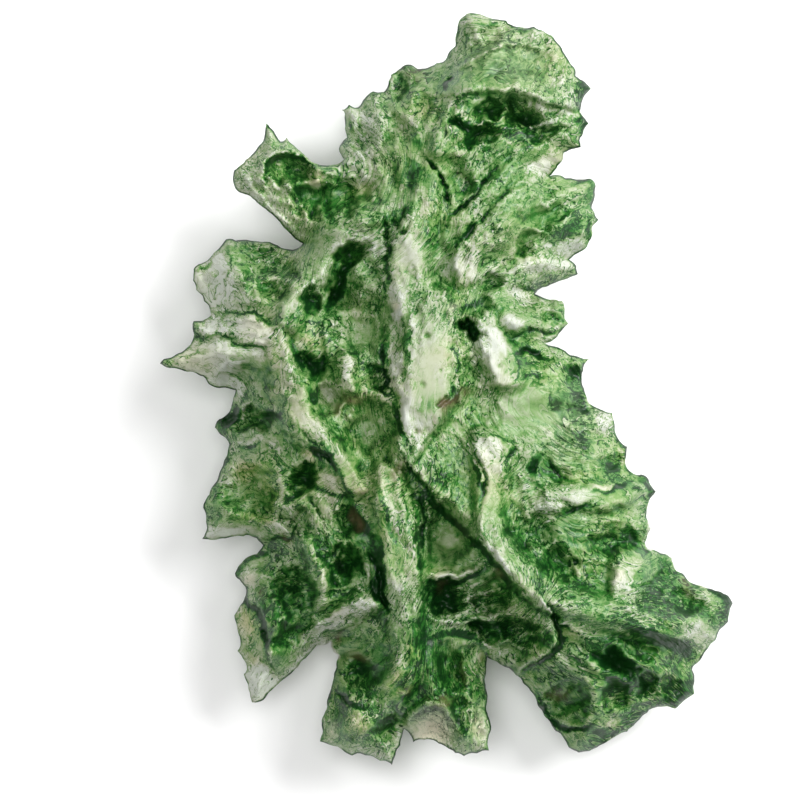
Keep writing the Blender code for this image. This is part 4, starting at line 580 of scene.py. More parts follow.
# The dark touches: painted shade.
SHADED_TOUCHES = (
    (3.3, 16.2, 3.6, 2.4, -20, 0.25), (6.0, -1.5, 2.6, 3.0, 0, 0.3), (-8.4, 3.2, 1.0, 1.2, 0, 0.4),
    (-6.9, 4.3, 0.9, 0.6, 0, 0.4), (3.4, 12.6, 1.6, 0.5, -10, 0.4), (8.7, -8.2, 0.9, 1.0, 0, 0.5),
    (6.8, 14.4, 0.8, 1.4, 0, 0.7), (11.7, -15.8, 1.4, 0.5, 10, 1.3), (9.4, -16.6, 1.2, 0.6, 30, 0.8),
    (3.0, -13.4, 1.1, 0.6, -40, 0.8), (14.1, -10.8, 0.5, 0.9, 0, 0.6), (10.0, -5.2, 0.5, 1.8, 0, 0.6),
    (-7.6, 3.4, 1.1, 0.9, 0, 0.7), (-9.6, 6.9, 1.3, 0.6, 0, 0.5), (-7.0, -0.9, 0.5, 1.2, 20, 0.5),
    (-5.8, -2.8, 1.2, 0.4, -35, 0.4), (2.6, 1.6, 0.5, 1.0, 0, 0.5), (-0.7, -4.0, 0.4, 1.2, 30, 0.4),
    (9.0, -12.5, 7.5, 6.5, 0, 0.3), (-1.5, -15.5, 5.5, 4.5, 0, 0.35), (12.4, -15.2, 1.3, 1.5, 30, 1.1),
    (7.4, -17.6, 1.6, 1.0, 0, 0.9), (10.4, -16.2, 1.6, 0.8, 20, 0.9), (14.3, -11.0, 0.9, 1.6, -20, 0.9),
    (7.3, 13.5, 0.8, 2.2, 0, 1.1), (10.3, -5.2, 0.6, 2.4, 0, 0.9), (9.4, -3.4, 0.8, 1.2, 0, 0.5),
    (6.0, -9.5, 3.0, 2.2, 0, 0.3), (-8.0, -9.5, 3.4, 3.0, 0, 0.25), (-12.9, 3.3, 0.6, 0.6, 0, 0.9),
    (-11.6, -2.0, 0.7, 1.2, 0, 0.6), (-11.8, -5.6, 0.9, 2.0, 0, 0.4), (7.0, 1.0, 0.6, 1.4, 0, 0.7),
    (3.0, 13.0, 2.0, 0.9, -15, 0.5), (0.8, 14.2, 0.8, 0.7, 0, 0.9), (-1.0, 7.4, 0.9, 0.9, 0, 0.4),
    (-1.4, -12.6, 1.4, 3.2, 0, 1.4), (-6.2, -7.8, 1.6, 1.6, 0, 1.4), (-8.7, -11.0, 1.7, 1.9, 0, 0.8),
    (-0.4, -15.0, 1.2, 1.2, 0, 0.8), (-1.2, -1.0, 0.9, 1.2, 0, 0.6), (9.6, -16.4, 3.6, 1.0, 24, 1.0),
    (4.8, -9.3, 2.2, 1.6, -10, 0.8), (6.2, -6.9, 1.3, 1.1, 0, 1.0), (8.4, -8.4, 2.4, 1.0, 0, 0.6),
    (7.2, -3.6, 1.7, 2.4, 0, 0.4), (8.9, -2.9, 0.9, 1.2, 0, 0.9), (10.1, -5.3, 0.7, 2.4, 0, 1.0),
    (12.1, -15.0, 1.9, 1.5, 30, 1.6),
    (8.2, -17.0, 2.6, 1.3, 15, 0.9), (14.1, -10.8, 1.2, 1.7, -20, 1.6), (11.4, -9.0, 2.2, 1.1, -25, 0.5),
    (5.0, -14.6, 1.6, 1.6, 0, 0.4), (3.8, 12.9, 1.7, 1.0, -15, 1.5), (2.4, 15.8, 1.6, 1.0, 0, 0.9),
    (7.0, 13.6, 1.0, 2.4, 0, 1.8), (6.8, 15.6, 0.9, 1.2, 0, 1.0), (0.1, 12.9, 1.0, 0.9, 0, 0.6),
    (-1.6, 15.9, 1.6, 0.9, 0, 1.1), (-5.8, 11.0, 1.3, 1.0, 0, 1.2), (-5.6, 8.4, 1.0, 1.0, 0, 0.5),
    (-9.2, 7.1, 2.0, 1.0, 0, 1.2), (-4.2, 6.2, 0.9, 0.9, 0, 0.5), (-0.9, 7.6, 1.0, 1.0, 0, 0.7),
    (0.4, 9.3, 1.2, 1.0, 0, 0.4), (-2.0, 10.3, 1.0, 1.2, 0, 0.4), (7.1, 9.6, 0.8, 1.7, 0, 0.5),
    (-6.6, 3.5, 2.2, 1.2, 0, 0.5), (-0.8, 4.7, 0.9, 0.8, 0, 0.5), (5.8, 3.6, 0.9, 1.5, 0, 1.0),
    (6.6, 0.4, 0.8, 1.2, 0, 0.8), (-11.0, -2.5, 0.8, 2.2, 0, 0.6), (-11.2, -5.0, 1.2, 2.2, 0, 0.4),
    (-7.9, -4.0, 1.0, 1.0, 0, 0.5), (-5.7, -2.5, 1.5, 1.1, -30, 0.8), (-0.4, -4.6, 1.0, 1.3, 35, 1.2),
    (3.1, 1.4, 0.9, 1.3, 0, 1.1), (-4.5, -16.2, 2.6, 2.0, 0, 0.3), (1.7, -15.6, 0.8, 2.8, 0, 0.9),
    (-2.4, -5.6, 0.8, 1.2, 0, 0.5), (-4.9, -10.1, 1.3, 1.0, 0, 0.4), (2.6, -6.6, 1.0, 1.6, 0, 0.3),
    (9.4, -13.0, 4.6, 3.6, 0, 0.25), (-8.2, -9.0, 1.2, 1.0, 0, 0.4),
)

# Painted strokes of light and shade on the skin: pale ones painted highlights on crests and tops and
# painted light through thin edges, dark ones painted shade in cracks, holes, folds and along edges.
# Each has a name, the half width, how strong and the path.
LIT_STROKES = (
    ("cave white facet", 0.22, 1.4, ((-10.4, 0.15), (-10.2, -0.4), (-10.3, -1.1))),
    ("upper left lobe facet", 0.4, 1.8, ((-11.5, 6.7), (-11.2, 6.0), (-11.6, 5.2), (-11.5, 4.4))),
    ("central bank top", 1.1, 0.3, ((-0.75, 3.7), (-0.75, 2.6), (-0.7, 1.4), (-0.75, 0.3), (-1.0, -0.5))),
    ("central bank foot", 0.5, 0.9, ((-1.4, -0.9), (-1.7, -1.8), (-1.8, -2.6))),
    ("long finger top", 0.7, 0.4, ((2.1, 3.1), (2.3, 2.3), (2.7, 1.6), (3.0, 1.1))),
    ("spine knob top", 0.6, 1.1, ((1.9, -2.6), (2.1, -3.0), (2.2, -3.6))),
    ("white knob top", 0.5, 0.6, ((9.4, -8.3), (9.1, -8.8), (8.8, -9.4), (8.7, -9.9))),
    ("boss top", 0.32, 1.0, ((-5.0, 1.6), (-4.9, 1.0), (-4.9, 0.3))),
    ("right bank top", 0.35, 0.4, ((5.7, -5.45), (6.4, -5.35), (7.2, -5.3))),
    ("upper spine top", 0.55, 0.2, ((-1.6, 7.9), (-1.8, 6.8), (-1.9, 5.6), (-1.8, 4.8))),
    ("diagonal bank top", 0.4, 1.0, ((1.1, 5.7), (1.25, 6.5), (1.4, 7.4))),
    ("splinter top", 0.3, 1.1, ((3.6, 6.0), (4.6, 6.25), (5.6, 6.3), (6.3, 6.2))),
    ("upper right bank top", 0.25, 1.1, ((5.0, 7.1), (5.7, 7.2), (6.4, 7.3))),
    ("small lobe top", 0.35, 1.1, ((3.1, 4.6), (3.7, 4.7), (4.3, 4.6))),
    ("small lobe bank", 0.35, 1.1, ((2.9, 3.5), (3.3, 3.4), (3.8, 3.2))),
    ("crown oval", 0.32, 1.1, ((4.8, 15.2), (5.3, 15.35), (5.9, 15.4))),
    ("crown white facet", 0.45, 1.0, ((4.2, 10.7), (4.7, 11.2), (5.2, 11.6))),
    ("arm white facet", 0.6, 0.9, ((11.5, -11.6), (12.3, -11.9), (13.1, -12.3))),
    ("lower left tip", 0.5, 1.7, ((-9.2, -14.2), (-9.35, -14.7), (-9.45, -15.1))),
    ("upper left white rim", 0.5, 1.8, ((-11.7, 6.9), (-12.0, 6.0), (-12.0, 5.0), (-11.6, 4.2))),
    ("spike bank top", 0.35, 1.7, ((-12.1, 3.2), (-11.2, 3.1), (-10.0, 3.0), (-8.9, 2.8))),
    ("spike top", 0.35, 0.8, ((-13.3, 1.55), (-12.2, 1.4), (-11.0, 1.3), (-10.0, 1.2))),
    ("left lobe white rim", 0.25, 1.7, ((-12.0, -7.1), (-11.2, -7.1), (-10.2, -7.0))),
    ("pocket shoulder", 0.4, 0.9, ((-6.3, -4.5), (-5.9, -4.7), (-5.4, -4.8))),
    ("left hollow facet", 0.36, 0.8, ((-7.0, -2.8), (-6.95, -3.2), (-7.0, -3.5))),
    ("right white patch", 0.25, 1.1, ((7.4, -4.95), (7.8, -4.8), (8.1, -4.65))),
    ("shoulder white rim", 0.35, 1.0, ((7.5, -1.2), (7.9, -1.6), (8.1, -2.2))),
    ("lower dish rim", 0.3, 0.9, ((7.4, -16.4), (8.2, -16.4), (8.9, -16.7))),
    ("spine crest", 0.28, 0.8, (
        (-3.2, -4.5), (-2.9, -5.5), (-2.5, -6.3), (-2.2, -7.2), (-2.0, -8.0), (-1.9, -9.0),
        (-2.2, -9.9),
    )),
    ("spine side line", 0.18, 0.8, ((-2.3, -5.3), (-1.9, -6.6), (-1.7, -8.0), (-1.65, -9.4))),
    ("spine foot crest", 0.4, 0.6, (
        (-2.2, -11.2), (-2.3, -13.0), (-2.8, -14.3), (-3.2, -15.2), (-3.1, -16.0),
    )),
    ("lower left rib crest", 0.28, 1.0, ((-6.6, -12.2), (-5.7, -11.5), (-4.9, -11.0), (-4.3, -10.6))),
    ("pocket hook crest", 0.16, 1.3, ((-4.2, -8.5), (-3.95, -8.8), (-3.9, -9.4), (-4.0, -9.9))),
    ("pocket hook foot", 0.15, 1.2, ((-4.5, -9.6), (-4.2, -9.7), (-4.0, -10.0))),
    ("pocket arc", 0.14, 0.9, ((-5.1, -7.9), (-5.3, -8.3), (-5.7, -8.5), (-6.1, -8.6))),
    ("bowl wall line", 0.16, 1.0, ((-6.9, -7.5), (-6.4, -8.2), (-6.1, -9.0), (-6.0, -9.7), (-6.2, -10.4))),
    ("pool crescent band", 0.4, 0.6, ((-1.4, -9.1), (0.0, -9.2), (0.9, -9.0), (1.5, -8.5), (1.9, -8.1))),
    ("left fold crest", 0.22, 1.4, ((-11.0, -2.4), (-10.2, -2.7), (-9.6, -2.5), (-9.1, -2.2))),
    ("left fold wall", 0.2, 1.2, ((-9.0, -2.6), (-8.3, -3.0), (-8.15, -3.5))),
    ("left bowl wall", 0.2, 1.0, ((-8.5, -3.9), (-8.3, -4.5), (-8.2, -5.4), (-7.7, -6.1), (-7.3, -6.5))),
    ("left bowl wall, lower", 0.22, 1.0, ((-7.4, -6.0), (-6.8, -6.3), (-6.5, -6.9))),
    ("pocket shoulder edge", 0.2, 1.1, ((-6.6, -5.15), (-6.0, -5.4), (-5.4, -5.35))),
    ("cave crest", 0.2, 1.4, ((-10.7, -1.7), (-10.2, -1.0), (-9.8, -0.8))),
    ("left rib crest", 0.45, 0.35, (
        (-8.5, 2.0), (-8.0, 1.0), (-7.6, 0.0), (-7.2, -1.4), (-6.3, -1.9), (-5.4, -3.0),
        (-4.9, -4.2),
    )),
    ("left rib, top crest", 0.28, 0.7, ((-8.6, 3.6), (-7.6, 4.1), (-7.2, 4.9))),
    ("spike edge", 0.22, 1.8, ((-13.6, 1.2), (-12.2, 0.8), (-11.0, 0.6), (-10.2, 0.2))),
    ("horn crest line", 0.22, 1.0, ((-10.3, 10.1), (-9.6, 9.6), (-9.0, 9.1))),
    ("horn crescent line", 0.16, 1.2, ((-7.0, 10.4), (-6.4, 10.2), (-5.7, 10.5), (-5.4, 11.1))),
    ("horn facet line", 0.16, 0.9, ((-8.7, 10.4), (-8.1, 9.9), (-7.3, 9.0))),
    ("crown ledge line", 0.16, 1.3, ((3.8, 14.5), (4.4, 14.15), (5.2, 14.0), (6.6, 13.85), (7.1, 13.3))),
    ("crown thread line", 0.15, 1.3, ((3.3, 13.3), (3.8, 13.1), (4.6, 13.2), (5.3, 13.4), (5.8, 13.8))),
    ("crown thread line, low", 0.14, 1.1, ((2.1, 12.8), (2.6, 12.6), (3.0, 12.3), (3.7, 12.6))),
    ("crown rim glow", 0.35, 0.5, ((4.2, 17.9), (5.1, 17.3), (5.8, 16.4))),
    ("upper spine ridge", 0.28, 0.9, ((-1.0, 9.9), (-1.1, 9.0), (-1.4, 8.2))),
    ("right rim wall", 0.2, 1.0, ((9.3, -4.4), (9.8, -5.0), (9.9, -5.6))),
    ("right lobe ridge", 0.2, 1.1, ((8.8, -2.9), (8.85, -3.4), (8.7, -4.2))),
    ("cup edge, left", 0.14, 0.9, ((10.1, -14.4), (9.85, -15.1), (9.95, -15.6))),
    ("cup edge, middle", 0.14, 0.9, ((10.9, -14.2), (10.7, -14.9), (10.6, -15.6))),
    ("cup edge, right", 0.14, 0.9, ((11.3, -14.2), (11.5, -14.8), (11.5, -15.4))),
    ("arm band", 0.4, 0.5, ((8.0, -10.7), (9.0, -11.0), (10.0, -11.6), (11.0, -11.8))),
    ("fin crest", 0.18, 0.8, ((0.5, -11.7), (1.5, -12.3), (2.3, -12.9))),
    ("fin streak", 0.16, 0.9, ((3.8, -12.2), (4.3, -12.6), (4.9, -12.8))),
    ("pit wall", 0.14, 0.8, ((9.5, -13.6), (9.6, -14.0), (10.2, -14.3), (11.0, -14.2))),
    ("foot rim arcs", 0.18, 0.8, ((-6.1, -16.7), (-5.6, -17.1), (-5.4, -17.7))),
    ("lower left rim", 0.3, 0.9, ((-9.0, -15.1), (-8.0, -14.1), (-7.0, -13.2), (-6.4, -12.7))),
)
# The dark strokes: painted shade.
SHADED_STROKES = (
    ("upper left lobe line", 0.12, 1.5, ((-10.9, 7.2), (-10.7, 6.4), (-11.1, 5.4), (-11.0, 4.4))),
    ("upper left lobe notch", 0.16, 1.6, ((-12.6, 6.3), (-12.2, 6.15), (-11.8, 6.4), (-11.4, 6.9))),
    ("upper left lobe foot", 0.13, 1.5, (
        (-12.0, 3.6), (-11.3, 3.9), (-10.4, 3.8), (-9.4, 3.7), (-8.6, 3.3),
    )),
    ("spike notch line", 0.16, 1.8, ((-12.5, 3.4), (-12.6, 2.9), (-12.2, 2.6), (-12.4, 2.1))),
    ("spike top line", 0.12, 1.5, ((-12.2, 2.6), (-11.4, 2.75), (-10.6, 2.3), (-9.8, 2.4), (-8.9, 2.2))),
    ("spike under line", 0.12, 1.4, ((-11.6, 0.7), (-10.9, 0.9), (-10.2, 0.5), (-9.8, 0.0))),
    ("cave mouth line", 0.18, 1.8, ((-11.3, -1.8), (-10.7, -1.1), (-10.1, -0.4), (-9.9, 0.2))),
    ("spine left line", 0.16, 1.3, ((-3.6, -4.4), (-3.15, -5.4), (-2.9, -6.3), (-2.6, -7.5))),
    ("spine middle line", 0.12, 1.2, ((-2.15, -5.2), (-2.0, -6.0), (-1.8, -7.0), (-1.72, -7.8))),
    ("black groove", 0.35, 2.0, (
        (-3.6, -7.4), (-3.35, -8.3), (-3.25, -9.2), (-3.35, -10.0), (-3.1, -11.0),
    )),
    ("foot wedge", 0.42, 1.6, ((-4.9, -5.5), (-4.65, -6.1), (-4.3, -6.8), (-4.1, -7.4))),
    ("pool diagonal", 0.18, 1.8, (
        (-1.5, -5.0), (-0.9, -5.4), (-0.2, -6.2), (0.6, -6.8), (1.2, -7.3), (2.0, -8.2),
        (2.6, -9.0), (3.2, -10.0),
    )),
    ("pool corner", 0.3, 1.8, ((-1.5, -5.6), (-1.2, -5.3), (-0.9, -5.2))),
    ("pool side hole", 0.28, 1.7, ((1.1, -7.4), (1.4, -7.6), (1.7, -7.8))),
    ("pool wall", 0.15, 1.5, ((-1.5, -5.4), (-1.5, -7.0), (-1.45, -8.5), (-1.35, -9.6))),
    ("crescent foot", 0.18, 1.7, ((-1.35, -9.5), (0.3, -9.6), (1.2, -9.3), (2.1, -8.8))),
    ("pool foot cave", 0.4, 1.3, ((-1.1, -10.1), (-0.2, -10.2), (0.6, -10.6))),
    ("fin edge shade", 0.16, 1.8, ((5.3, -11.3), (5.6, -12.1), (5.45, -12.7), (5.1, -13.2), (4.5, -13.7))),
    ("fin cell, right", 0.4, 1.0, ((4.4, -11.9), (4.9, -12.2), (5.2, -12.5))),
    ("fin cell, left", 0.4, 1.0, ((2.0, -12.0), (2.7, -11.9), (3.3, -12.2))),
    ("fold shade", 0.22, 1.5, ((-0.8, -12.4), (0.0, -12.05), (1.2, -12.3), (1.95, -13.0))),
    ("bank left edge", 0.26, 1.2, ((-2.0, 4.3), (-2.0, 2.8), (-2.05, 1.4), (-2.35, 0.3))),
    ("bank left foot", 0.22, 1.8, ((-2.5, 0.1), (-2.5, -0.9), (-2.3, -2.0), (-2.0, -2.7))),
    ("bank right arc", 0.13, 1.6, ((0.1, 2.0), (0.45, 1.85), (0.55, 1.3), (0.4, 0.9))),
    ("bank hook", 0.13, 2.2, (
        (-2.7, 0.75), (-2.95, 0.55), (-2.9, 0.2), (-2.75, 0.0), (-2.9, -0.2), (-3.2, -0.15),
        (-3.4, 0.05),
    )),
    ("bank side hole", 0.28, 1.9, ((-3.0, 2.4), (-3.15, 1.7), (-2.95, 1.2))),
    ("bank side hole, foot", 0.2, 1.2, ((-2.9, 1.05), (-3.3, 1.0), (-3.8, 0.95))),
    ("stained crack line", 0.15, 2.0, (
        (0.3, 0.3), (0.45, -0.1), (0.3, -0.45), (-0.1, -0.7), (-0.3, -0.85),
    )),
    ("finger hole", 0.32, 2.0, ((0.9, 3.4), (1.2, 3.1), (1.4, 2.8))),
    ("finger hole rim", 0.18, 1.4, ((0.7, 3.7), (0.9, 4.1), (1.3, 4.3), (1.9, 4.4))),
    ("finger arc", 0.13, 1.5, ((3.4, 1.5), (3.65, 1.0), (3.5, 0.6), (3.0, 0.3))),
    ("finger foot line", 0.12, 1.6, ((3.7, 0.65), (4.2, 0.75), (4.6, 0.72), (4.9, 0.65))),
    ("shoulder crack", 0.18, 2.0, ((3.4, 1.8), (3.7, 1.95), (4.1, 2.0), (4.6, 1.75), (5.1, 1.55))),
    ("shoulder crack, short", 0.12, 1.4, ((4.0, 1.2), (4.25, 1.3), (4.5, 1.0))),
    ("rim pit line", 0.13, 1.7, ((5.7, -0.1), (6.3, -0.15), (6.9, 0.0))),
    ("rim pit wall", 0.13, 1.6, ((5.1, 0.0), (5.15, -0.5), (5.2, -0.9), (5.55, -1.1))),
    ("rim pit, left", 0.32, 1.2, ((5.5, -0.3), (5.5, -0.7), (5.7, -0.9))),
    ("rim pit, right", 0.35, 1.4, ((6.3, -0.5), (6.7, -0.7), (7.1, -0.9))),
    ("rim pit, top", 0.4, 0.9, ((6.1, 1.4), (6.4, 0.8), (6.5, 0.2))),
    ("slope arc", 0.12, 1.1, ((5.5, -1.6), (6.1, -1.85), (6.5, -2.3), (6.2, -2.6))),
    ("slope spot", 0.2, 1.3, ((6.5, -2.2), (6.7, -2.4), (6.8, -2.7))),
    ("notch arm", 0.28, 1.8, ((4.65, -3.2), (4.35, -3.75), (4.1, -4.15))),
    ("notch foot", 0.4, 0.7, ((4.8, -3.6), (5.3, -4.1), (5.9, -4.4))),
    ("notch ledge line", 0.12, 1.0, ((3.7, -4.55), (4.4, -4.6), (4.85, -4.8), (4.8, -5.1))),
    ("right bank line", 0.15, 1.7, ((7.3, -5.1), (8.0, -5.0), (8.6, -4.7), (9.1, -4.55))),
    ("right lobe hole", 0.3, 1.8, ((7.9, -3.9), (8.3, -3.85), (8.7, -3.8))),
    ("right lobe rim", 0.2, 1.6, ((8.5, -2.5), (8.8, -2.7), (9.0, -2.9))),
    ("right lobe rim, foot", 0.3, 1.2, ((9.7, -4.3), (10.1, -4.8), (10.2, -5.2))),
    ("bank foot fringe", 0.18, 1.5, ((5.6, -6.1), (6.5, -5.9), (7.4, -5.7))),
    ("right dark facet", 0.4, 0.9, ((8.6, -7.2), (9.2, -7.2), (9.8, -7.4))),
    ("right rim notch", 0.2, 1.5, ((10.2, -6.8), (10.1, -7.2), (9.9, -7.6))),
    ("spine crack", 0.15, 1.8, ((1.25, -3.2), (1.55, -4.0), (1.75, -4.8), (1.65, -5.4))),
    ("knob arc", 0.12, 1.2, ((1.1, -2.6), (1.4, -2.2), (2.0, -2.15), (2.6, -2.3), (2.9, -2.6))),
    ("knob side specks", 0.17, 1.4, ((3.2, -2.8), (3.1, -3.3), (2.9, -4.1))),
    ("arm shade", 0.38, 1.3, (
        (8.3, -11.4), (9.4, -11.7), (10.2, -12.1), (11.2, -12.6), (12.2, -13.2), (12.4, -13.6),
    )),
    ("pit zigzag", 0.32, 1.7, ((7.2, -13.3), (8.1, -13.1), (8.4, -13.5), (9.0, -13.6), (9.5, -14.0))),
    ("cup shade", 0.3, 1.6, ((9.4, -14.5), (9.8, -14.7), (9.8, -15.1))),
    ("dark hollow rim", 0.2, 1.8, ((4.6, -15.2), (5.0, -16.1), (5.9, -17.0), (6.8, -16.9), (7.3, -16.5))),
    ("arm rim shade", 0.24, 1.5, ((11.6, -8.6), (12.6, -9.6), (13.9, -10.2), (14.2, -10.8))),
    ("left fold under line", 0.15, 1.8, ((-10.3, -2.85), (-9.8, -2.75), (-9.4, -2.55))),
    ("left hollow streak", 0.28, 2.1, ((-6.7, -2.5), (-6.55, -3.0), (-6.2, -3.4))),
    ("left hollow streak, right", 0.28, 2.1, ((-6.1, -2.7), (-5.8, -3.3), (-5.6, -4.0))),
    ("left hollow foot", 0.22, 1.7, ((-8.1, -5.3), (-7.8, -5.35), (-7.4, -5.2))),
    ("pocket shoulder line", 0.16, 1.6, ((-6.6, -4.95), (-5.9, -5.15), (-5.2, -5.2), (-4.7, -5.4))),
    ("rib foot crack", 0.15, 1.7, ((-5.4, -3.9), (-5.1, -4.6), (-4.7, -5.2), (-4.5, -5.9))),
    ("lobe crack", 0.15, 1.7, ((-7.4, -6.8), (-7.6, -7.2), (-8.0, -7.45), (-8.5, -7.5), (-9.0, -7.9))),
    ("lower left black edge", 0.2, 2.1, (
        (-10.2, -9.9), (-9.9, -10.7), (-9.5, -10.9), (-9.2, -11.4), (-9.05, -12.2), (-8.9, -12.7),
    )),
    ("lower left rim dark", 0.2, 1.4, ((-10.4, -8.8), (-10.0, -8.4), (-9.3, -8.1), (-8.7, -8.0))),
    ("lower left rib line", 0.13, 1.3, ((-6.5, -12.35), (-5.9, -12.05), (-5.3, -11.95))),
    ("left foot black line", 0.17, 2.0, ((-5.4, -15.1), (-5.0, -15.5), (-4.5, -15.7), (-3.9, -15.75))),
    ("left foot black arc", 0.2, 1.5, ((-5.0, -14.2), (-4.2, -14.1), (-3.6, -13.7))),
    ("left foot hole", 0.16, 1.9, ((-2.3, -15.2), (-2.1, -15.25), (-1.9, -15.1))),
    ("left foot dish shade", 0.4, 0.9, ((-3.4, -16.5), (-2.9, -16.6), (-2.4, -16.8))),
    ("beige arc, outer", 0.1, 1.4, (
        (-1.7, -16.3), (-0.9, -15.9), (-0.3, -16.0), (0.2, -16.6), (0.5, -17.4),
    )),
    ("beige arc, middle", 0.1, 1.2, (
        (-1.8, -16.6), (-1.0, -16.3), (-0.4, -16.6), (0.1, -17.3), (0.4, -17.8),
    )),
    ("beige arc, inner", 0.1, 1.2, ((-1.3, -16.9), (-0.7, -17.0), (-0.2, -17.4), (0.1, -17.8))),
    ("beige facet, right shade", 0.2, 1.1, ((0.3, -15.9), (0.8, -16.6), (1.0, -17.4))),
    ("horn hollow edge", 0.2, 1.7, (
        (-8.9, 10.7), (-8.8, 11.25), (-8.4, 11.5), (-7.8, 11.6), (-7.2, 11.45), (-6.5, 11.1),
    )),
    ("upper right band", 0.32, 1.2, ((5.3, 7.6), (6.0, 7.9), (7.0, 8.3))),
    ("upper right rim", 0.18, 1.5, ((7.5, 8.7), (7.15, 8.1), (7.0, 7.4))),
    ("upper right top rim", 0.14, 1.2, ((6.2, 10.4), (6.9, 10.45), (7.3, 10.2))),
    ("long hollow streak", 0.22, 1.5, ((-6.0, 4.0), (-5.4, 4.8), (-5.1, 5.6), (-4.9, 6.6))),
    ("long hollow cross line", 0.12, 1.2, ((-7.1, 3.3), (-6.5, 3.35), (-6.0, 3.3))),
    ("boss line", 0.13, 1.4, ((-5.5, 1.7), (-5.0, 1.95), (-4.4, 1.8), (-4.3, 1.3))),
    ("left pit", 0.45, 1.1, ((-6.5, 1.7), (-6.5, 1.2), (-6.3, 0.9))),
    ("left pit notch", 0.17, 1.9, ((-6.9, 0.1), (-6.6, -0.5), (-6.3, 0.4))),
    ("left pit diagonal", 0.25, 1.4, ((-7.9, 2.6), (-7.4, 1.9), (-7.0, 1.2))),
    ("cave crescent", 0.3, 2.0, ((-11.2, -1.8), (-10.6, -1.3), (-10.4, -0.6))),
    ("cave line", 0.14, 1.4, ((-9.3, -0.6), (-8.7, -1.0), (-8.2, -1.5))),
    ("cave line, lower", 0.14, 1.3, ((-10.6, -2.1), (-9.8, -1.8), (-9.0, -1.4))),
    ("spike band", 0.2, 1.4, ((-13.2, 1.6), (-12.4, 1.75), (-11.7, 1.9))),
    ("upper spine line", 0.17, 1.6, ((-3.0, 6.7), (-2.95, 5.6), (-3.2, 4.6))),
    ("upper spine band", 0.3, 1.1, ((-1.5, 9.3), (-2.4, 8.8), (-3.4, 8.2))),
    ("upper spine top line", 0.13, 1.4, ((-2.3, 10.35), (-1.9, 10.15), (-1.4, 10.15))),
    ("wedge shade", 0.5, 1.0, ((-2.2, 11.1), (-1.6, 10.8), (-1.0, 10.4))),
    ("diagonal strokes", 0.14, 1.4, ((0.6, 7.3), (1.2, 8.0), (1.8, 8.6))),
    ("crown black pit", 0.3, 1.8, ((0.4, 13.4), (0.8, 13.15), (1.3, 13.0))),
    ("crown cleft", 0.17, 1.8, ((-0.1, 15.0), (0.05, 15.3), (0.35, 15.5))),
    ("crown rim line", 0.13, 1.4, ((1.0, 18.2), (1.0, 17.6), (0.95, 17.0))),
    ("crown rim patch", 0.35, 1.2, ((6.7, 15.7), (6.8, 15.3), (6.7, 15.0))),
    ("crown edge patch", 0.18, 1.4, ((3.5, 17.95), (3.8, 17.9), (4.2, 17.8))),
    ("crown edge patch, left", 0.2, 1.3, ((2.0, 18.25), (2.3, 18.2), (2.7, 18.1))),
    ("crown low patch", 0.32, 1.2, ((1.1, 12.4), (1.3, 12.2), (1.5, 12.0))),
    ("shoulder streak, left", 0.16, 1.5, ((-4.95, 13.5), (-4.9, 13.2), (-4.7, 12.9))),
    ("shoulder streak, right", 0.15, 1.4, ((-4.35, 13.5), (-4.3, 13.2), (-4.2, 12.8))),
    ("shoulder spot", 0.3, 1.1, ((-2.5, 15.5), (-2.3, 15.3), (-2.1, 15.1))),
    ("shoulder pit", 0.25, 1.2, ((-1.5, 12.5), (-1.4, 12.3), (-1.3, 12.1))),
    ("small lobe line", 0.15, 1.5, ((3.9, 5.2), (4.1, 5.05), (4.4, 4.95))),
    ("small lobe foot", 0.15, 1.5, ((4.9, 2.95), (5.3, 2.85), (5.6, 2.95))),
    ("small lobe streak", 0.14, 1.4, ((4.0, 3.3), (4.2, 3.1), (4.5, 3.0))),
    ("upper left spot", 0.2, 1.4, ((-12.5, 6.2), (-12.4, 6.05), (-12.2, 6.0))),
    ("spike top spot", 0.2, 1.4, ((-12.55, 3.3), (-12.5, 3.1), (-12.4, 2.9))),
    ("spike tip", 0.15, 1.5, ((-14.2, 1.4), (-14.0, 1.4), (-13.8, 1.35))),
    ("left rim", 0.14, 1.7, ((-11.1, -2.2), (-10.95, -2.8), (-11.0, -3.3), (-11.2, -3.8))),
)

# Patches where the glass looks yellower than elsewhere: x, y, the two half widths, the turn, how
# much.
YELLOWER = (
    (-9.7, -3.8, 1.6, 0.8, 0, 1.0), (-9.4, -6.4, 1.4, 0.6, 0, 0.9), (-8.8, -5.0, 0.5, 1.4, 0, 0.8),
    (-7.0, -3.2, 0.6, 0.8, 0, 0.8), (1.65, -16.6, 0.6, 1.2, 0, 1.0), (-4.3, -16.4, 1.2, 1.2, 0, 0.7),
    (-1.7, -13.2, 0.5, 1.2, 0, 0.8), (-2.6, -14.6, 0.8, 1.4, 0, 0.6), (-9.9, -11.8, 0.8, 1.4, 0, 0.7),
    (-6.4, 10.6, 1.0, 0.6, 0, 0.8), (-4.4, 9.8, 1.0, 0.8, 0, 0.6), (-6.5, 2.6, 0.8, 0.6, 0, 0.7),
    (-1.0, 14.0, 1.2, 1.0, 0, 0.5), (0.0, -9.1, 1.8, 0.5, 0, 0.6), (6.2, -12.0, 1.0, 0.8, 0, 0.6),
    (7.0, -14.0, 1.2, 1.2, 0, 0.6), (11.2, -10.8, 1.2, 0.6, 0, 0.6), (8.4, -16.6, 1.4, 0.6, 0, 0.6),
    (-7.9, -9.6, 1.0, 0.7, 0, 0.6), (-4.9, -2.4, 1.0, 1.0, 0, 0.5), (6.6, -4.2, 1.6, 1.0, 0, 0.5),
    (-3.3, -6.4, 0.5, 1.8, 0, 0.6), (-9.4, -13.6, 0.6, 0.6, 0, 0.6),
)

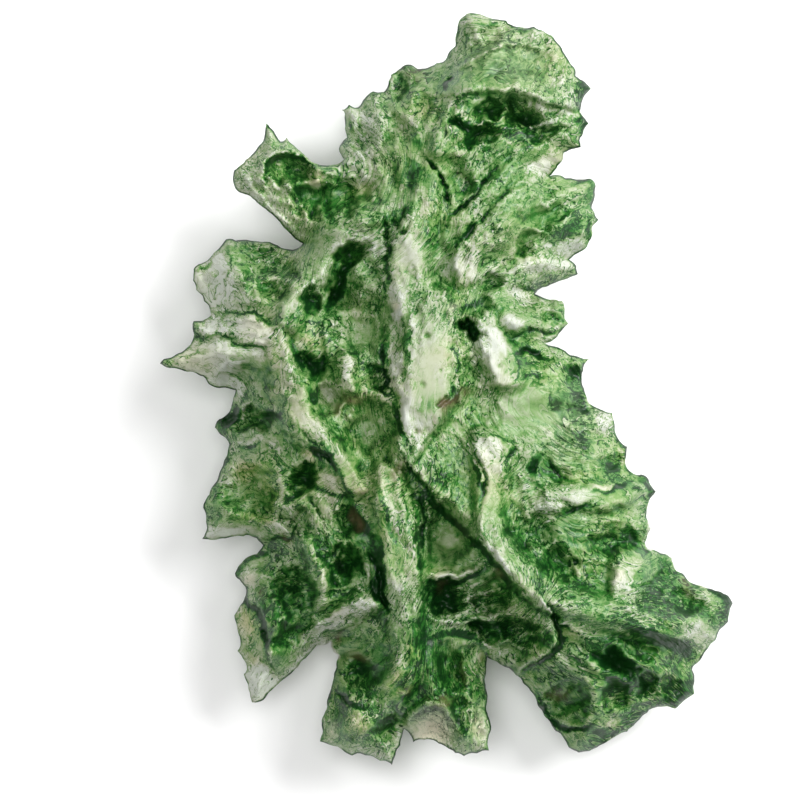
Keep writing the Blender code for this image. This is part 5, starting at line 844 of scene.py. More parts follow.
# How the finer relief and the paint are laid on: lengths, and shares from 0 to 1. A pair of clouds
# is the size of the lumps and how many times finer ones are added.
LINE_END_SHARE = 0.3
GRAIN_BLEND = 2.0
FAR_WEIGHT = 1e-9
SCOOP_POWER = 2.2
FINE_ONSET = 0.25
FLAT_MARGIN = 0.35
THINNEST_FINE = 0.25
NOOK_ROUNDS = 5
VALLEY_ROUNDS = 60
GRAIN_FLIP = -20
GRAIN_NEAR = 6.0
# How much of the painted highlight on crests counts against the painted shade in nooks.
CREST_LIGHT_SHARE = 0.4
BROKEN_SIZE = 0.6
BROKEN_LEAST = 0.35
BROKEN_MIDDLE = 0.6
BROKEN_REACH = 1.6
BROAD_CLOUDS = (2.2, 3)
STROKE_REACH = 0.6
TUFT_SIZES = ((2.4, 1.3), (0.9, 0.6))
TUFT_LEAST = 0.4
TUFT_MIDDLE = 0.6
HUE_CLOUDS = (3.1, 2)
YELLOW_EVERYWHERE = 0.1
YELLOW_REACH = 0.5
VEIL_CLOUDS = (1.1, 2)
SWIRL_CLOUDS = (0.7, 2)
VEIL_SHIFTS = ((11, 7, 3), (5, 23, 2))

# What the underside carries, the same all over it.
UNDER_PAINT = {
    "relief": 0.0, "cut": 0.0, "thickness": 4.0, "inset": 3.0, "pale": 0.2, "stain": 0.0,
    "beige": 0.0, "worked": 0.8, "yellow": 0.0, "dark": 0.0,
    "ink": 0.0, "ink side": 1.0, "ink width": 0.0, "chalk": 0.0, "chalk side": 1.0, "chalk width": 0.0,
}

# The skin's colour by its tone, from 0 in the darkest hollows to 1 on the palest, most lit crests.
# The tone holds painted shade and painted highlight as well as the glass's own colour.
GLASS_TONES = (
    (0.0, (0.004, 0.038, 0.006, 1)), (0.25, (0.032, 0.18, 0.024, 1)), (0.45, (0.205, 0.36, 0.12, 1)),
    (0.65, (0.455, 0.51, 0.35, 1)), (0.82, (0.605, 0.64, 0.555, 1)), (1.0, (0.685, 0.72, 0.64, 1)),
)

# Tints and stains over that.
YELLOW_TINT = (1.08, 1.0, 0.7, 1)
STAIN_BROWN = (0.17, 0.12, 0.06, 1)
BEIGE_SKIN = (0.76, 0.72, 0.55, 1)

# How much tone each number that the mesh carries adds. Much of it is painted light and shade: raised
# relief lighter, painted shade in nooks, valleys, cuts and on steep walls, a painted highlight on
# crests, and the pale patches a painted sheen.
BASE_TONE = 0.5
TONE_SHARES = (
    ("relief", 0.03), ("nook", -1.5), ("valley", -0.07), ("cut", -0.35), ("pale", 0.28),
    ("broad", 0.12), ("steep", -0.25),
)
# Painted light where the glass is thin, as if light came through it.
THIN_GLASS = 3.5
THIN_LIGHT = 0.18
# The painted light of the pale strokes, the brightest tone, and the painted shade of the dark patches and
# strokes.
LIT_STROKE_LIGHT = 0.22
BRIGHTEST = 0.92
DARK_SHADE = 0.28
SHADED_STROKE_SHADE = 0.32
# Painted shade along the rim: a dark outline.
RIM_WIDTH = 0.08
RIM_SHADE = 0.75

# The fine texture: its lumps to the millimetre along and across the grain, and the tone it adds,
# with painted shade in its creases and lines.
FLUTES = (1.9, 4.2)
FLUTE_CURL = 0.9
FACETS = (1.4, 3.4)
FACET_TEAR = (0.4, 0.5)
FACET_SHADE = 0.22
SPECK_SIZE = 0.11
SPECK_SHADE = 0.75
TEAR_REACH = 1.6
STROKE_TEAR = 0.14
STROKE_SHARPNESS = 9
TERRACES = 2.4
TERRACE_SWAY = 1.5
TERRACE_SHADE = 0.26
CREASE_WIDTH = 0.14
CREASE_SHADE = 0.6
LAMELLA_WIDTH = 0.09
CURL_WIDTH = 0.08
LINE_SHADE = 0.4

# The glass under the skin, with lengths in metres.
GLASS_IOR = 1.49
GLOSS = 0.09
CLEAR_SHARE = 0.38
SMOOTHEST = 0.24
BUMP_HEIGHT = 0.0001
BUMP_STRENGTH = 0.8
DEPTH_COLOUR = (0.42, 0.70, 0.28, 1)
DEPTH_DENSITY = 190

# The studio, in metres.
FLOOR_HALF_WIDTH = 1.5
SENSOR_WIDTH = 0.036
CAMERA_HEIGHT = 0.35
FRAME_WIDTH = 0.0399
FRAME_MIDDLE = (-0.002325, -0.00047)
CARD_WHITE = (0.86, 0.86, 0.86, 1)
CARD_ROUGHNESS = 0.9
SURROUND = (1.0, 0.985, 0.995, 1)
SURROUND_STRENGTH = 0.42
# Soft lights: a name, the place, the width and the power in watts.
LIGHTS = (
    ("soft light, upper right", (0.20, 0.13, 0.20), 0.18, 1.55),
    ("soft light, overhead", (-0.04, 0.02, 0.40), 0.2, 0.9),
)


def outline():
    """The outline's points with their edge heights and fullness, clockwise, at an even spacing."""
    corners = [(x, y, height, full, bow) for _, height, full, lobe in LOBES for x, y, bow in lobe]
    points = []
    for corner, following in zip(corners, corners[1:] + corners[:1]):
        start, end, bow = np.array(corner[:4]), np.array(following[:4]), corner[4]
        outwards = np.array([start[1] - end[1], end[0] - start[0], 0.0, 0.0])
        steps = max(1, round(math.hypot(*outwards[:2]) / RIM_SPACING))
        for t in np.arange(steps) / steps:
            points.append(start + t * (end - start) + 4 * t * (1 - t) * bow * outwards)
    return to_length(np.array(points))


def to_length(rim):
    """The outline at the stone's length, with the middle of its box at the origin."""
    low, high = rim[:, :2].min(axis=0), rim[:, :2].max(axis=0)
    rim[:, :2] = (rim[:, :2] - (low + high) / 2) * STONE_LENGTH / (high[1] - low[1])
    return rim


def run_together(rim):
    """The rim with its heights and fullness averaged along the edge, so that lobes join smoothly."""
    following = np.roll(rim[:, :2], -1, axis=0)
    length = np.linalg.norm(following - rim[:, :2], axis=1)
    place = np.concatenate([[0.0], np.cumsum(length)[:-1]])
    apart = np.abs(place[:, None] - place[None, :])
    apart = np.minimum(apart, length.sum() - apart)
    weight = np.exp(-0.5 * (apart / RIM_SMOOTHING) ** 2) * length
    smoothed = rim.copy()
    smoothed[:, 2:] = (weight @ rim[:, 2:]) / weight.sum(axis=1)[:, None]
    return smoothed


def ragged(rim):
    """The rim with small nicks and a wavering height."""
    run = np.roll(rim[:, :2], -1, axis=0) - np.roll(rim[:, :2], 1, axis=0)
    outwards = np.column_stack([-run[:, 1], run[:, 0]]) / np.linalg.norm(run, axis=1)[:, None]
    nicks = sum(reach * roughly(rim, size) for size, reach in NICKS)
    rim[:, :2] += outwards * nicks[:, None]
    rim[:, 2] += RIM_WAVER * roughly(rim, WAVER_SIZE)
    return rim


def wandered(places, wander):
    """The places shifted a little by noise, so that what is drawn with them has natural edges."""
    moved = places.copy()
    for size, reach in wander:
        shift = [noise.noise_vector(Vector((x / size, y / size, size))) for x, y in places]
        moved += reach * np.array(shift)[:, :2]
    return moved


def roughly(places, size):
    """Smooth noise from -1 to 1 at each place, with lumps of that size."""
    return np.array([noise.noise(Vector((x / size, y / size, 0))) for x, y in places[:, :2]])


def smooth_path(points):
    """A Catmull-Rom curve through the points, which may carry more values than x and y."""
    ends = np.vstack([2 * points[0] - points[1], points, 2 * points[-1] - points[-2]])
    curve = []
    for a, b, c, d in zip(ends, ends[1:], ends[2:], ends[3:]):
        for t in np.arange(CURVE_STEPS) / CURVE_STEPS:
            curve.append(0.5 * (
                2 * b + (c - a) * t + (2 * a - 5 * b + 4 * c - d) * t ** 2
                + (3 * b - a - 3 * c + d) * t ** 3
            ))
    return np.array(curve + [points[-1]])


def near_path(places, path, reach):
    """The numbers of the places near a path, and for each its distance to the path, its side (left is
    positive) and the path's own values there."""
    low, high = path[:, :2].min(axis=0) - reach, path[:, :2].max(axis=0) + reach
    near = np.flatnonzero(((places > low) & (places < high)).all(axis=1))
    distance = np.full(len(near), np.inf)
    side = np.ones(len(near))
    values = np.zeros((len(near), path.shape[1] - 2))
    for start, end in zip(path, path[1:]):
        run = end[:2] - start[:2]
        offset = places[near] - start[:2]
        t = np.clip(offset @ run / (run @ run), 0, 1)
        gap = np.linalg.norm(offset - t[:, None] * run, axis=1)
        nearer = gap < distance
        distance[nearer] = gap[nearer]
        side[nearer] = np.sign(run[0] * offset[nearer, 1] - run[1] * offset[nearer, 0])
        values[nearer] = start[2:] + t[nearer, None] * (end[2:] - start[2:])
    return near, distance, side, values


def distance_to_rim(places, rim):
    """How far each place lies from the outline."""
    following = np.roll(rim[:, :2], -1, axis=0)
    marks = [rim[:, :2] + t * (following - rim[:, :2]) for t in np.arange(RIM_MARKS) / RIM_MARKS]
    marks = np.vstack(marks)
    tree = KDTree(len(marks))
    for number, (x, y) in enumerate(marks):
        tree.insert((x, y, 0), number)
    tree.balance()
    return np.array([tree.find((x, y, 0))[2] for x, y in places])


def carried_inwards(places, rim):
    """The edge's height and fullness at each place: a mean over the rim that favours the near points."""
    values = np.empty((len(places), 2))
    marks = rim[::HEIGHT_MARK_STEP]
    for first in range(0, len(places), BLOCK):
        apart = ((places[first:first + BLOCK, None, :] - marks[:, :2]) ** 2).sum(axis=2)
        weight = (apart + HEIGHT_BLUR) ** -HEIGHT_FALL
        values[first:first + BLOCK] = (weight @ marks[:, 2:4]) / weight.sum(axis=1)[:, None]
    return values.T


def half_thickness(inset, full):
    """Half the glass's thickness at a distance in from the edge: a thin lip, then the body."""
    lip = EDGE_HALF_THICKNESS * (1 - np.exp(-inset / EDGE_ROUNDING))
    return lip + BODY_HALF_THICKNESS * (1 - np.exp(-(inset * full / BODY_RISE) ** RISE_POWER))


def fade(t):
    """Falls smoothly from 1 at t = 0 to 0 at t = 1."""
    t = np.clip(t, 0, 1)
    return (1 - t) ** 2 * (1 + 2 * t)


def rib_rise(places, ribs):
    """The rise that the ribs give, the highest where they cross."""
    rise = np.zeros(len(places))
    for _, flat, points in ribs:
        path = smooth_path(np.array(points))
        near, distance, _, values = near_path(places, path, RIB_FOOT * path[:, 2].max())
        width, height = values.T
        t = (distance / width - flat) / (RIB_FOOT - flat)
        rise[near] = np.maximum(rise[near], height * fade(t))
    return rise


def oval_reach(places, x, y, wide, tall, turn):
    """How far out each place lies in an oval: 0 at its middle, 1 on its edge."""
    c, s = math.cos(math.radians(turn)), math.sin(math.radians(turn))
    u = (c * (places[:, 0] - x) + s * (places[:, 1] - y)) / wide
    v = (c * (places[:, 1] - y) - s * (places[:, 0] - x)) / tall
    return np.hypot(u, v)


def hollow_depth(places, hollows):
    """The depth of the scooped hollows, which run into each other where they meet."""
    depth = np.zeros(len(places))
    for *oval, deep in hollows:
        reach = np.clip(oval_reach(places, *oval), 0, 1)
        depth += (deep * (1 - reach ** HOLLOW_POWER) ** HOLLOW_LIP) ** HOLLOW_BLEND
    return depth ** (1 / HOLLOW_BLEND)


def step_rise(places):
    """The rise of the overlapping layers on the left of each step's path."""
    rise = np.zeros(len(places))
    for _, height, reach, points in STEPS:
        near, distance, side, _ = near_path(places, smooth_path(np.array(points)), reach)
        wall = 1 - fade(distance / STEP_WALL)
        rise[near] += height * wall * fade(distance / reach) * (side > 0)
    return rise


def line_profile(places, lines):
    """The height of narrow lines, such as cuts and folds, that taper to their ends."""
    height = np.zeros(len(places))
    for _, width, most, points in lines:
        share = np.full((len(points), 1), 1.0)
        share[[0, -1]] = LINE_END_SHARE
        near, distance, _, values = near_path(places, smooth_path(np.hstack([points, share])), width)
        height[near] = np.maximum(height[near], most * values[:, 0] * fade(distance / width))
    return height


def relief(drawn, patchy):
    """The broad relief of the top face: ribs and steps at the places as drawn, hollows at patchy ones."""
    hollows = hollow_depth(patchy, [hollow[1:] for hollow in HOLLOWS])
    return rib_rise(drawn, RIBS) + step_rise(drawn) - hollows


def body(places, rim):
    """The glass's middle height at each place, half its thickness, and the distance from the rim."""
    inset = distance_to_rim(places, rim)
    edge, full = carried_inwards(places, rim)
    middle = edge + (MIDDLE_HEIGHT - edge) * (1 - np.exp(-(inset / MIDDLE_REACH) ** 2))
    return middle, half_thickness(inset, full), inset


def underside(places, middle, half, inset):
    """The height of the underside, with its bosses drawn down to the ground."""
    inside = 1 - np.exp(-inset / RELIEF_ONSET)
    under = middle - half + inside * (hollow_depth(places, UNDER_HOLLOWS) - rib_rise(places, UNDER_RIBS))
    under = np.maximum(under, UNDER_CLEARANCE * inside)
    for x, y, radius, reach in FLATS:
        away = np.hypot(places[:, 0] - x, places[:, 1] - y)
        under = under * (1 - fade((away - radius) / reach))
    return under


def grain_direction(places):
    """The direction of the fluting at each place, in degrees, blended from the known directions."""
    weight = grain_weights(places)
    double = np.radians([2 * angle for _, _, angle in GRAIN])
    return np.degrees(np.arctan2(weight @ np.sin(double), weight @ np.cos(double))) / 2


def scoop_depth(places, chance):
    """The depth of the etch scoops, small ones within large ones."""
    low, high = places.min(axis=0), places.max(axis=0)
    order = np.argsort(places[:, 1])
    ranked = places[order]
    depth = np.zeros(len(places))
    for crowding, shortest, longest, width, share, spread in SCOOP_SIZES:
        count = int(crowding * np.prod(high - low))
        centres = chance.uniform(low, high, (count, 2))
        lengths = chance.uniform(shortest, longest, count)
        turns = grain_direction(centres) + chance.normal(0, spread, count)
        deepest = np.zeros(len(places))
        for (x, y), length, turn in zip(centres, lengths, turns):
            near = slice(*np.searchsorted(ranked[:, 1], [y - length / 2, y + length / 2]))
            reach = oval_reach(ranked[near], x, y, length / 2, length * width / 2, turn)
            scoop = share * length * width * (1 - np.clip(reach, 0, 1) ** SCOOP_POWER)
            deepest[near] = np.maximum(deepest[near], scoop)
        depth[order] += deepest
    return depth


def grain_weights(places):
    """How much each known direction of the grain counts at each place."""
    known = np.array(GRAIN, float)[:, :2]
    apart = ((places[:, None, :] - known) ** 2).sum(axis=2)
    weight = np.exp(-apart / GRAIN_BLEND ** 2) + FAR_WEIGHT / (1 + apart)
    return weight / weight.sum(axis=1)[:, None]


def grain_coordinates(places):
    """How far along and across the grain each place lies, in coordinates that bend with the grain."""
    known = np.array(GRAIN, float)[:, :2]
    turn = np.array([angle + 180 if angle < GRAIN_FLIP else angle for _, _, angle in GRAIN])
    weight = grain_weights(places)
    coordinates = []
    for quarter in (0, 90):
        axis = np.column_stack([np.cos(np.radians(turn + quarter)), np.sin(np.radians(turn + quarter))])
        start = joined_starts(known, axis)
        value = places @ axis.T - (known * axis).sum(axis=1) + start
        coordinates.append((weight * value).sum(axis=1))
    return coordinates


def joined_starts(known, axis):
    """What each known place's coordinate starts from, so that neighbours agree halfway between them."""
    first, second = np.triu_indices(len(known), 1)
    near = np.hypot(*(known[first] - known[second]).T) < GRAIN_NEAR
    first, second = first[near], second[near]
    rows = np.arange(len(first))
    system = np.zeros((len(first) + 1, len(known)))
    system[rows, first] = 1
    system[rows, second] = -1
    system[-1] = 1
    half = (known[second] - known[first]) / 2
    wanted = np.append(-(half * (axis[first] + axis[second])).sum(axis=1), 0)
    return np.linalg.lstsq(system, wanted, rcond=None)[0]


def share_kept(places):
    """How much of the fluting stays at each place."""
    kept = np.ones(len(places))
    for _, x, y, wide, tall, share in SMOOTH:
        kept *= 1 - (1 - share) * fade(oval_reach(places, x, y, wide, tall, 0))
    return kept


def inside_outline(places, rim):
    """True for the places inside the outline, by counting crossings of a ray."""
    x, y = places[:, 0], places[:, 1]
    inside = np.zeros(len(places), bool)
    for (x0, y0), (x1, y1) in zip(rim[:, :2], np.roll(rim[:, :2], -1, axis=0)):
        crosses = (y0 > y) != (y1 > y)
        if crosses.any():
            inside ^= crosses & (x < x0 + (y - y0) * (x1 - x0) / (y1 - y0 + NEVER_ZERO))
    return inside


def lattice(rim, spacing, chance):
    """Places on a shaken triangular lattice inside the outline, in order of y."""
    low, high = rim[:, :2].min(axis=0), rim[:, :2].max(axis=0)
    row_step = spacing * math.sqrt(3) / 2
    rows = []
    for row, y in enumerate(np.arange(low[1], high[1], row_step)):
        x = np.arange(low[0] + (row % 2) * spacing / 2, high[0], spacing)
        rows.append(np.column_stack([x, np.full(len(x), y)]))
    places = np.vstack(rows)
    places += chance.uniform(-SPACING_JITTER * spacing, SPACING_JITTER * spacing, places.shape)
    places = places[inside_outline(places, rim)]
    places = places[distance_to_rim(places, rim) > RIM_CLEARANCE]
    return places[np.argsort(places[:, 1])]


def triangulate(rim, places):
    """Triangles over the outline. A chord from rim to rim is split, so the two sheets never share it."""
    count = len(rim)
    edges = [(i, (i + 1) % count) for i in range(count)]
    while True:
        flat = [Vector(p) for p in np.vstack([rim[:, :2], places])]
        _, _, triangles, _, _, _ = delaunay_2d_cdt(flat, edges, [], 1, SAME_POINT)
        triangles = np.array(triangles)
        ends = edges_of(triangles)
        gap = ends[:, 1] - ends[:, 0]
        chords = ends[(ends[:, 1] < count) & (gap != 1) & (gap != count - 1)]
        if not len(chords):
            return places, triangles
        places = np.vstack([places, (rim[chords[:, 0], :2] + rim[chords[:, 1], :2]) / 2])


def edges_of(triangles):
    """Each edge of the triangles once, as two point numbers in order."""
    ends = np.vstack([triangles[:, [0, 1]], triangles[:, [1, 2]], triangles[:, [2, 0]]])
    return np.unique(np.sort(ends, axis=1), axis=0)


def levelled(values, ends, rounds):
    """The values averaged with their neighbours' along the edges, that many times."""
    count = len(values)
    neighbours = np.bincount(ends.ravel(), minlength=count)
    for _ in range(rounds):
        total = np.bincount(ends[:, 0], values[ends[:, 1]], count)
        total += np.bincount(ends[:, 1], values[ends[:, 0]], count)
        values = (values + total / neighbours) / 2
    return values


def top_sheet(places, rim, chance):
    """The top face: its height at each place, and what colours it there."""
    middle, half, inset = body(places, rim)
    inside = 1 - np.exp(-inset / RELIEF_ONSET)
    drawn = wandered(places, LINE_WANDER)
    patchy = wandered(places, HOLLOW_WANDER)
    broad = relief(drawn, patchy)
    under = underside(places, middle, half, inset)
    thinnest = THINNEST * (1 - np.exp(-inset / EDGE_ROUNDING))
    top = np.maximum(middle + half + inside * broad, under + thinnest)
    lift = STONE_HEIGHT / top.max()
    rounds = [(x, y, radius, radius, 0, deep) for x, y, radius, deep in OPEN_BUBBLES]
    bubbles = hollow_depth(places, rounds)
    broken = between(BROKEN_LEAST, BROKEN_MIDDLE + BROKEN_REACH * roughly(drawn, BROKEN_SIZE))
    cuts = line_profile(drawn, CREVICES) * broken + bubbles
    fluting = scoop_depth(places, chance)
    worked = share_kept(drawn) * tufts(drawn)
    fine = line_profile(drawn, THREADS) - cuts - fluting * worked
    near_rim = 1 - np.exp(-inset / FINE_ONSET)
    top = lift * top + near_rim * fine
    top = np.maximum(top, lift * under + THINNEST_FINE * near_rim)
    paints = {
        "relief": inside * broad, "cut": near_rim * cuts, "thickness": top - lift * under,
        "inset": inset, "worked": worked,
        # Painted sheen and light in the pale patches, painted shade in the dark ones.
        "pale": patches(patchy, LIT_PATCHES) + patches(drawn, LIT_TOUCHES, np.add),
        "dark": patches(patchy, SHADED_PATCHES) + patches(drawn, SHADED_TOUCHES, np.add),
        "stain": patches(patchy, STAINS),
        "beige": patches(drawn, BEIGE),
        "yellow": patches(patchy, YELLOWER),
    }
    # Strokes of painted shade and painted light.
    for name, lines in (("ink", SHADED_STROKES), ("chalk", LIT_STROKES)):
        paints[name], paints[name + " side"], paints[name + " width"] = strokes(drawn, lines)
    return top, lift, paints


def between(least, share):
    """A share kept from 0 to 1, then squeezed so that it starts at the least one."""
    return least + (1 - least) * np.clip(share, 0, 1)


def tufts(places):
    """How much of the fine texture there is at each place: it comes in clusters, with smooth glass
    between them."""
    total = TUFT_MIDDLE + sum(reach * roughly(places, size) for size, reach in TUFT_SIZES)
    return between(TUFT_LEAST, total)


def strokes(places, lines):
    """What the nearest stroke is at each place: how strong, how far to its left the place lies, and its
    half width."""
    strength, width = np.zeros(len(places)), np.zeros(len(places))
    outside = np.full(len(places), STROKE_REACH)
    aside = np.full(len(places), STROKE_REACH)
    for _, half_width, most, points in lines:
        share = np.full((len(points), 1), 1.0)
        share[[0, -1]] = LINE_END_SHARE
        path = smooth_path(np.hstack([points, share]))
        near, distance, side, values = near_path(places, path, half_width + STROKE_REACH)
        nearer = distance - half_width < outside[near]
        chosen = near[nearer]
        outside[chosen] = distance[nearer] - half_width
        aside[chosen] = (side * distance)[nearer]
        strength[chosen] = most * values[nearer, 0]
        width[chosen] = half_width
    return strength, aside, width


def patches(places, ovals, joined=np.maximum):
    """How much of a patchy colour lies at each place."""
    share = np.zeros(len(places))
    for *oval, most in ovals:
        share = joined(share, most * fade(oval_reach(places, *oval)))
    return share


def under_sheet(places, rim, lift, chance):
    """The underside's height at each place."""
    middle, half, inset = body(places, rim)
    under = lift * underside(places, middle, half, inset)
    scoops = scoop_depth(places, chance) * (1 - np.exp(-inset / FINE_ONSET))
    return under + scoops * np.clip(under / FLAT_MARGIN, 0, 1)


def stone_mesh(chance):
    """The stone as a mesh of two sheets that share the outline, with what colours them."""
    rim = ragged(run_together(outline()))
    top_places, top_faces = triangulate(rim, lattice(rim, TOP_SPACING, chance))
    under_places, under_faces = triangulate(rim, lattice(rim, UNDER_SPACING, chance))
    top, lift, paints = top_sheet(top_places, rim, chance)
    under = under_sheet(under_places, rim, lift, chance)
    points = np.vstack([
        np.column_stack([rim[:, :2], lift * rim[:, 2]]),
        np.column_stack([top_places, top]),
        np.column_stack([under_places, under]),
    ])
    moved = np.where(under_faces < len(rim), under_faces, under_faces + len(top_places))
    faces = np.vstack([top_faces, moved[:, ::-1]])
    for name, values in paints.items():
        beneath = np.full(len(under_places), UNDER_PAINT[name])
        paints[name] = np.concatenate([np.zeros(len(rim)), values, beneath])
    facing = np.ones(len(points))
    facing[-len(under_places):] = -1
    height, ends = points[:, 2], edges_of(faces)
    # Painted shade in nooks and valleys and a painted highlight on crests, from how far each point lies
    # below or above its neighbours.
    nook = facing * (levelled(height, ends, NOOK_ROUNDS) - height)
    paints["nook"] = np.where(nook < 0, CREST_LIGHT_SHARE * nook, nook)
    paints["valley"] = facing * (levelled(height, ends, VALLEY_ROUNDS) - height)
    paints["along"], paints["across"] = grain_coordinates(points[:, :2])
    paints["broad"] = clouded(points, *BROAD_CLOUDS)
    paints["swirl"] = clouded(points, *SWIRL_CLOUDS)
    paints["yellow"] += YELLOW_EVERYWHERE + YELLOW_REACH * clouded(points, *HUE_CLOUDS)
    for name, shift in zip(("layered", "curled"), VEIL_SHIFTS):
        paints[name] = clouded(points + shift, *VEIL_CLOUDS)
    return mesh_of(points, faces, paints)


def clouded(points, size, octaves):
    """Soft noise at each point, from about -1 to 1, with lumps of that size and finer ones on them."""
    total = np.zeros(len(points))
    for octave in range(octaves):
        scale = 2 ** octave / size
        total += np.array([noise.noise(Vector(point) * scale) for point in points]) / 2 ** octave
    return total


def mesh_of(points, faces, paints):
    """A mesh in metres, with one number for each point under each name."""
    mesh = bpy.data.meshes.new("moldavite skin")
    mesh.from_pydata((points * MILLIMETRE).tolist(), [], faces.tolist())
    mesh.shade_smooth()
    normals = np.empty(len(points) * 3, np.float32)
    mesh.vertex_normals.foreach_get("vector", normals)
    # Painted shade on steep walls.
    paints["steep"] = 1 - np.abs(normals[2::3])
    for name, values in paints.items():
        mesh.attributes.new(name, "FLOAT", "POINT").data.foreach_set("value", values.astype(np.float32))
    return mesh


class Value:
    """A number on a node's socket. Arithmetic with it adds Math nodes to its tree."""

    def __init__(self, tree, socket):
        self.tree = tree
        self.socket = socket

    def maths(self, operation, *values):
        inputs = dict(enumerate(values))
        return self.tree.node("ShaderNodeMath", {"operation": operation}, inputs)

    def __add__(self, other):
        return self.maths("ADD", self, other)

    def __sub__(self, other):
        return self.maths("SUBTRACT", self, other)

    def __rsub__(self, other):
        return self.maths("SUBTRACT", other, self)

    def __mul__(self, other):
        return self.maths("MULTIPLY", self, other)

    def __truediv__(self, other):
        return self.maths("DIVIDE", self, other)

    __radd__ = __add__
    __rmul__ = __mul__

    def limited(self):
        """The number kept between 0 and 1."""
        return self.tree.node("ShaderNodeClamp", {}, {"Value": self})


class Tree:
    """A material's node tree, emptied and then filled again."""

    def __init__(self, nodes_and_links):
        self.nodes = nodes_and_links.nodes
        self.links = nodes_and_links.links
        self.nodes.clear()

    def node(self, kind, settings, inputs, output=0):
        """Adds a node of that type, sets it up and gives its sockets values or links. Returns an
        output."""
        made = self.nodes.new(kind)
        for name, setting in settings.items():
            if name == "stops":
                self.set_stops(made.color_ramp, setting)
            else:
                setattr(made, name, setting)
        for name, value in inputs.items():
            if isinstance(value, Value):
                self.links.new(value.socket, made.inputs[name])
            else:
                made.inputs[name].default_value = value
        return Value(self, made.outputs[output]) if made.outputs else made

    def set_stops(self, ramp, stops):
        """Gives a colour ramp its stops, each a place and a colour."""
        while len(ramp.elements) < len(stops):
            ramp.elements.new(0.5)
        for element, (place, colour) in zip(ramp.elements, stops):
            element.position = place
            element.color = colour

    def painted(self, name):
        """A number that the mesh carries at each point."""
        return self.node("ShaderNodeAttribute", {"attribute_name": name}, {}, "Fac")


def mixed(tree, factor, first, second):
    """One colour over another by a factor from 0 to 1."""
    return tree.node("ShaderNodeMix", {"data_type": "RGBA"}, {0: factor, 6: first, 7: second}, 2)


def tinted(tree, factor, colour, tint):
    """A colour multiplied by a tint, by a factor from 0 to 1."""
    settings = {"data_type": "RGBA", "blend_type": "MULTIPLY"}
    return tree.node("ShaderNodeMix", settings, {0: factor, 6: colour, 7: tint}, 2)


def specks(tree):
    """Fine soft noise around 0.5."""
    place = tree.node("ShaderNodeTexCoord", {}, {}, "Object")
    inputs = {"Vector": place, "Scale": 1 / (SPECK_SIZE * MILLIMETRE), "Detail": 2}
    return tree.node("ShaderNodeTexNoise", {}, inputs, "Fac")


def grain_place(tree, lumps):
    """The place along and across the grain, with so many lumps to the millimetre each way."""
    long, broad = lumps
    return tree.painted("along") * long, tree.painted("across") * broad


def fluting(tree):
    """Curly noise drawn out along the grain, around 0.5."""
    x, y = grain_place(tree, FLUTES)
    place = tree.node("ShaderNodeCombineXYZ", {}, {"X": x, "Y": y})
    inputs = {"Vector": place, "Scale": 1, "Detail": 1, "Distortion": FLUTE_CURL}
    return tree.node("ShaderNodeTexNoise", {"noise_dimensions": "2D"}, inputs, "Fac")


def facets(tree, torn):
    """A random number for each of the small facets of the skin, around 0.5."""
    x, y = grain_place(tree, FACETS)
    long, broad = FACET_TEAR
    place = tree.node("ShaderNodeCombineXYZ", {}, {"X": x + torn * long, "Y": y + torn * broad})
    settings = {"voronoi_dimensions": "2D"}
    return tree.node("ShaderNodeTexVoronoi", settings, {"Vector": place, "Scale": 1}, "Color")


def etched_lines(value, width, share):
    """Thin dark lines, 1 on the line and 0 off it, where a number passes each whole one."""
    across = value.maths("PINGPONG", value, 0.5)
    return (1.6 - across / width).limited() * (share * 3 + 0.6).limited()


def stroke(tree, name, torn):
    """A painted stroke with sharp, torn edges."""
    side = tree.painted(name + " side") + torn * STROKE_TEAR
    inside = tree.painted(name + " width") - side.maths("ABSOLUTE", side)
    return (inside * STROKE_SHARPNESS).limited() * tree.painted(name)


def fine_texture(tree, speck, rise, torn):
    """The tone of the fine texture: curved terraces, paler towards each lip with painted shade in a
    crease at the foot, small facets, specks, and thin dark lines of painted shade where etched layers meet."""
    texture = TERRACE_SHADE * (rise - 0.5) - CREASE_SHADE * (1 - rise / CREASE_WIDTH).limited()
    texture = texture + SPECK_SHADE * (speck - 0.5) + FACET_SHADE * (facets(tree, torn) - 0.5)
    layers = tree.painted("relief") * 1.6 + tree.painted("broad") * 2.2 + torn * 0.7
    lamellae = etched_lines(layers, LAMELLA_WIDTH, tree.painted("layered"))
    swirls = tree.painted("swirl") * 1.6 + torn * 0.7
    curls = etched_lines(swirls, CURL_WIDTH, tree.painted("curled"))
    return (texture - LINE_SHADE * lamellae.maths("MAXIMUM", lamellae, curls)) * tree.painted("worked")


def skin_tone(tree, speck, flow):
    """How light the skin is, from 0 in dark hollows to 1 on the palest crests. Much of it is painted
    light and shade: painted shade in nooks, valleys, cuts, on steep walls, in dark patches and strokes
    and along the rim, and painted light on crests, in thin glass and in pale patches and strokes.
    """
    torn = (flow - 0.5) * TEAR_REACH + (speck - 0.5) * TEAR_REACH
    tone = BASE_TONE + THIN_LIGHT * (1 - tree.painted("thickness") / THIN_GLASS).limited()
    for name, share in TONE_SHARES:
        tone = tone + share * tree.painted(name)
    tone = tone + LIT_STROKE_LIGHT * stroke(tree, "chalk", torn)
    tone = tone.maths("MINIMUM", tone, BRIGHTEST)
    steps = flow * TERRACES + tree.painted("broad") * TERRACE_SWAY
    rise = steps.maths("FRACT", steps)
    tone = tone + fine_texture(tree, speck, rise, torn)
    tone = tone - DARK_SHADE * tree.painted("dark") * (1.4 - rise)
    rim = (1.3 - tree.painted("inset") / RIM_WIDTH).limited()
    broken = (0.5 + 2 * tree.painted("swirl")).limited()
    return tone - SHADED_STROKE_SHADE * stroke(tree, "ink", torn) - RIM_SHADE * rim * broken


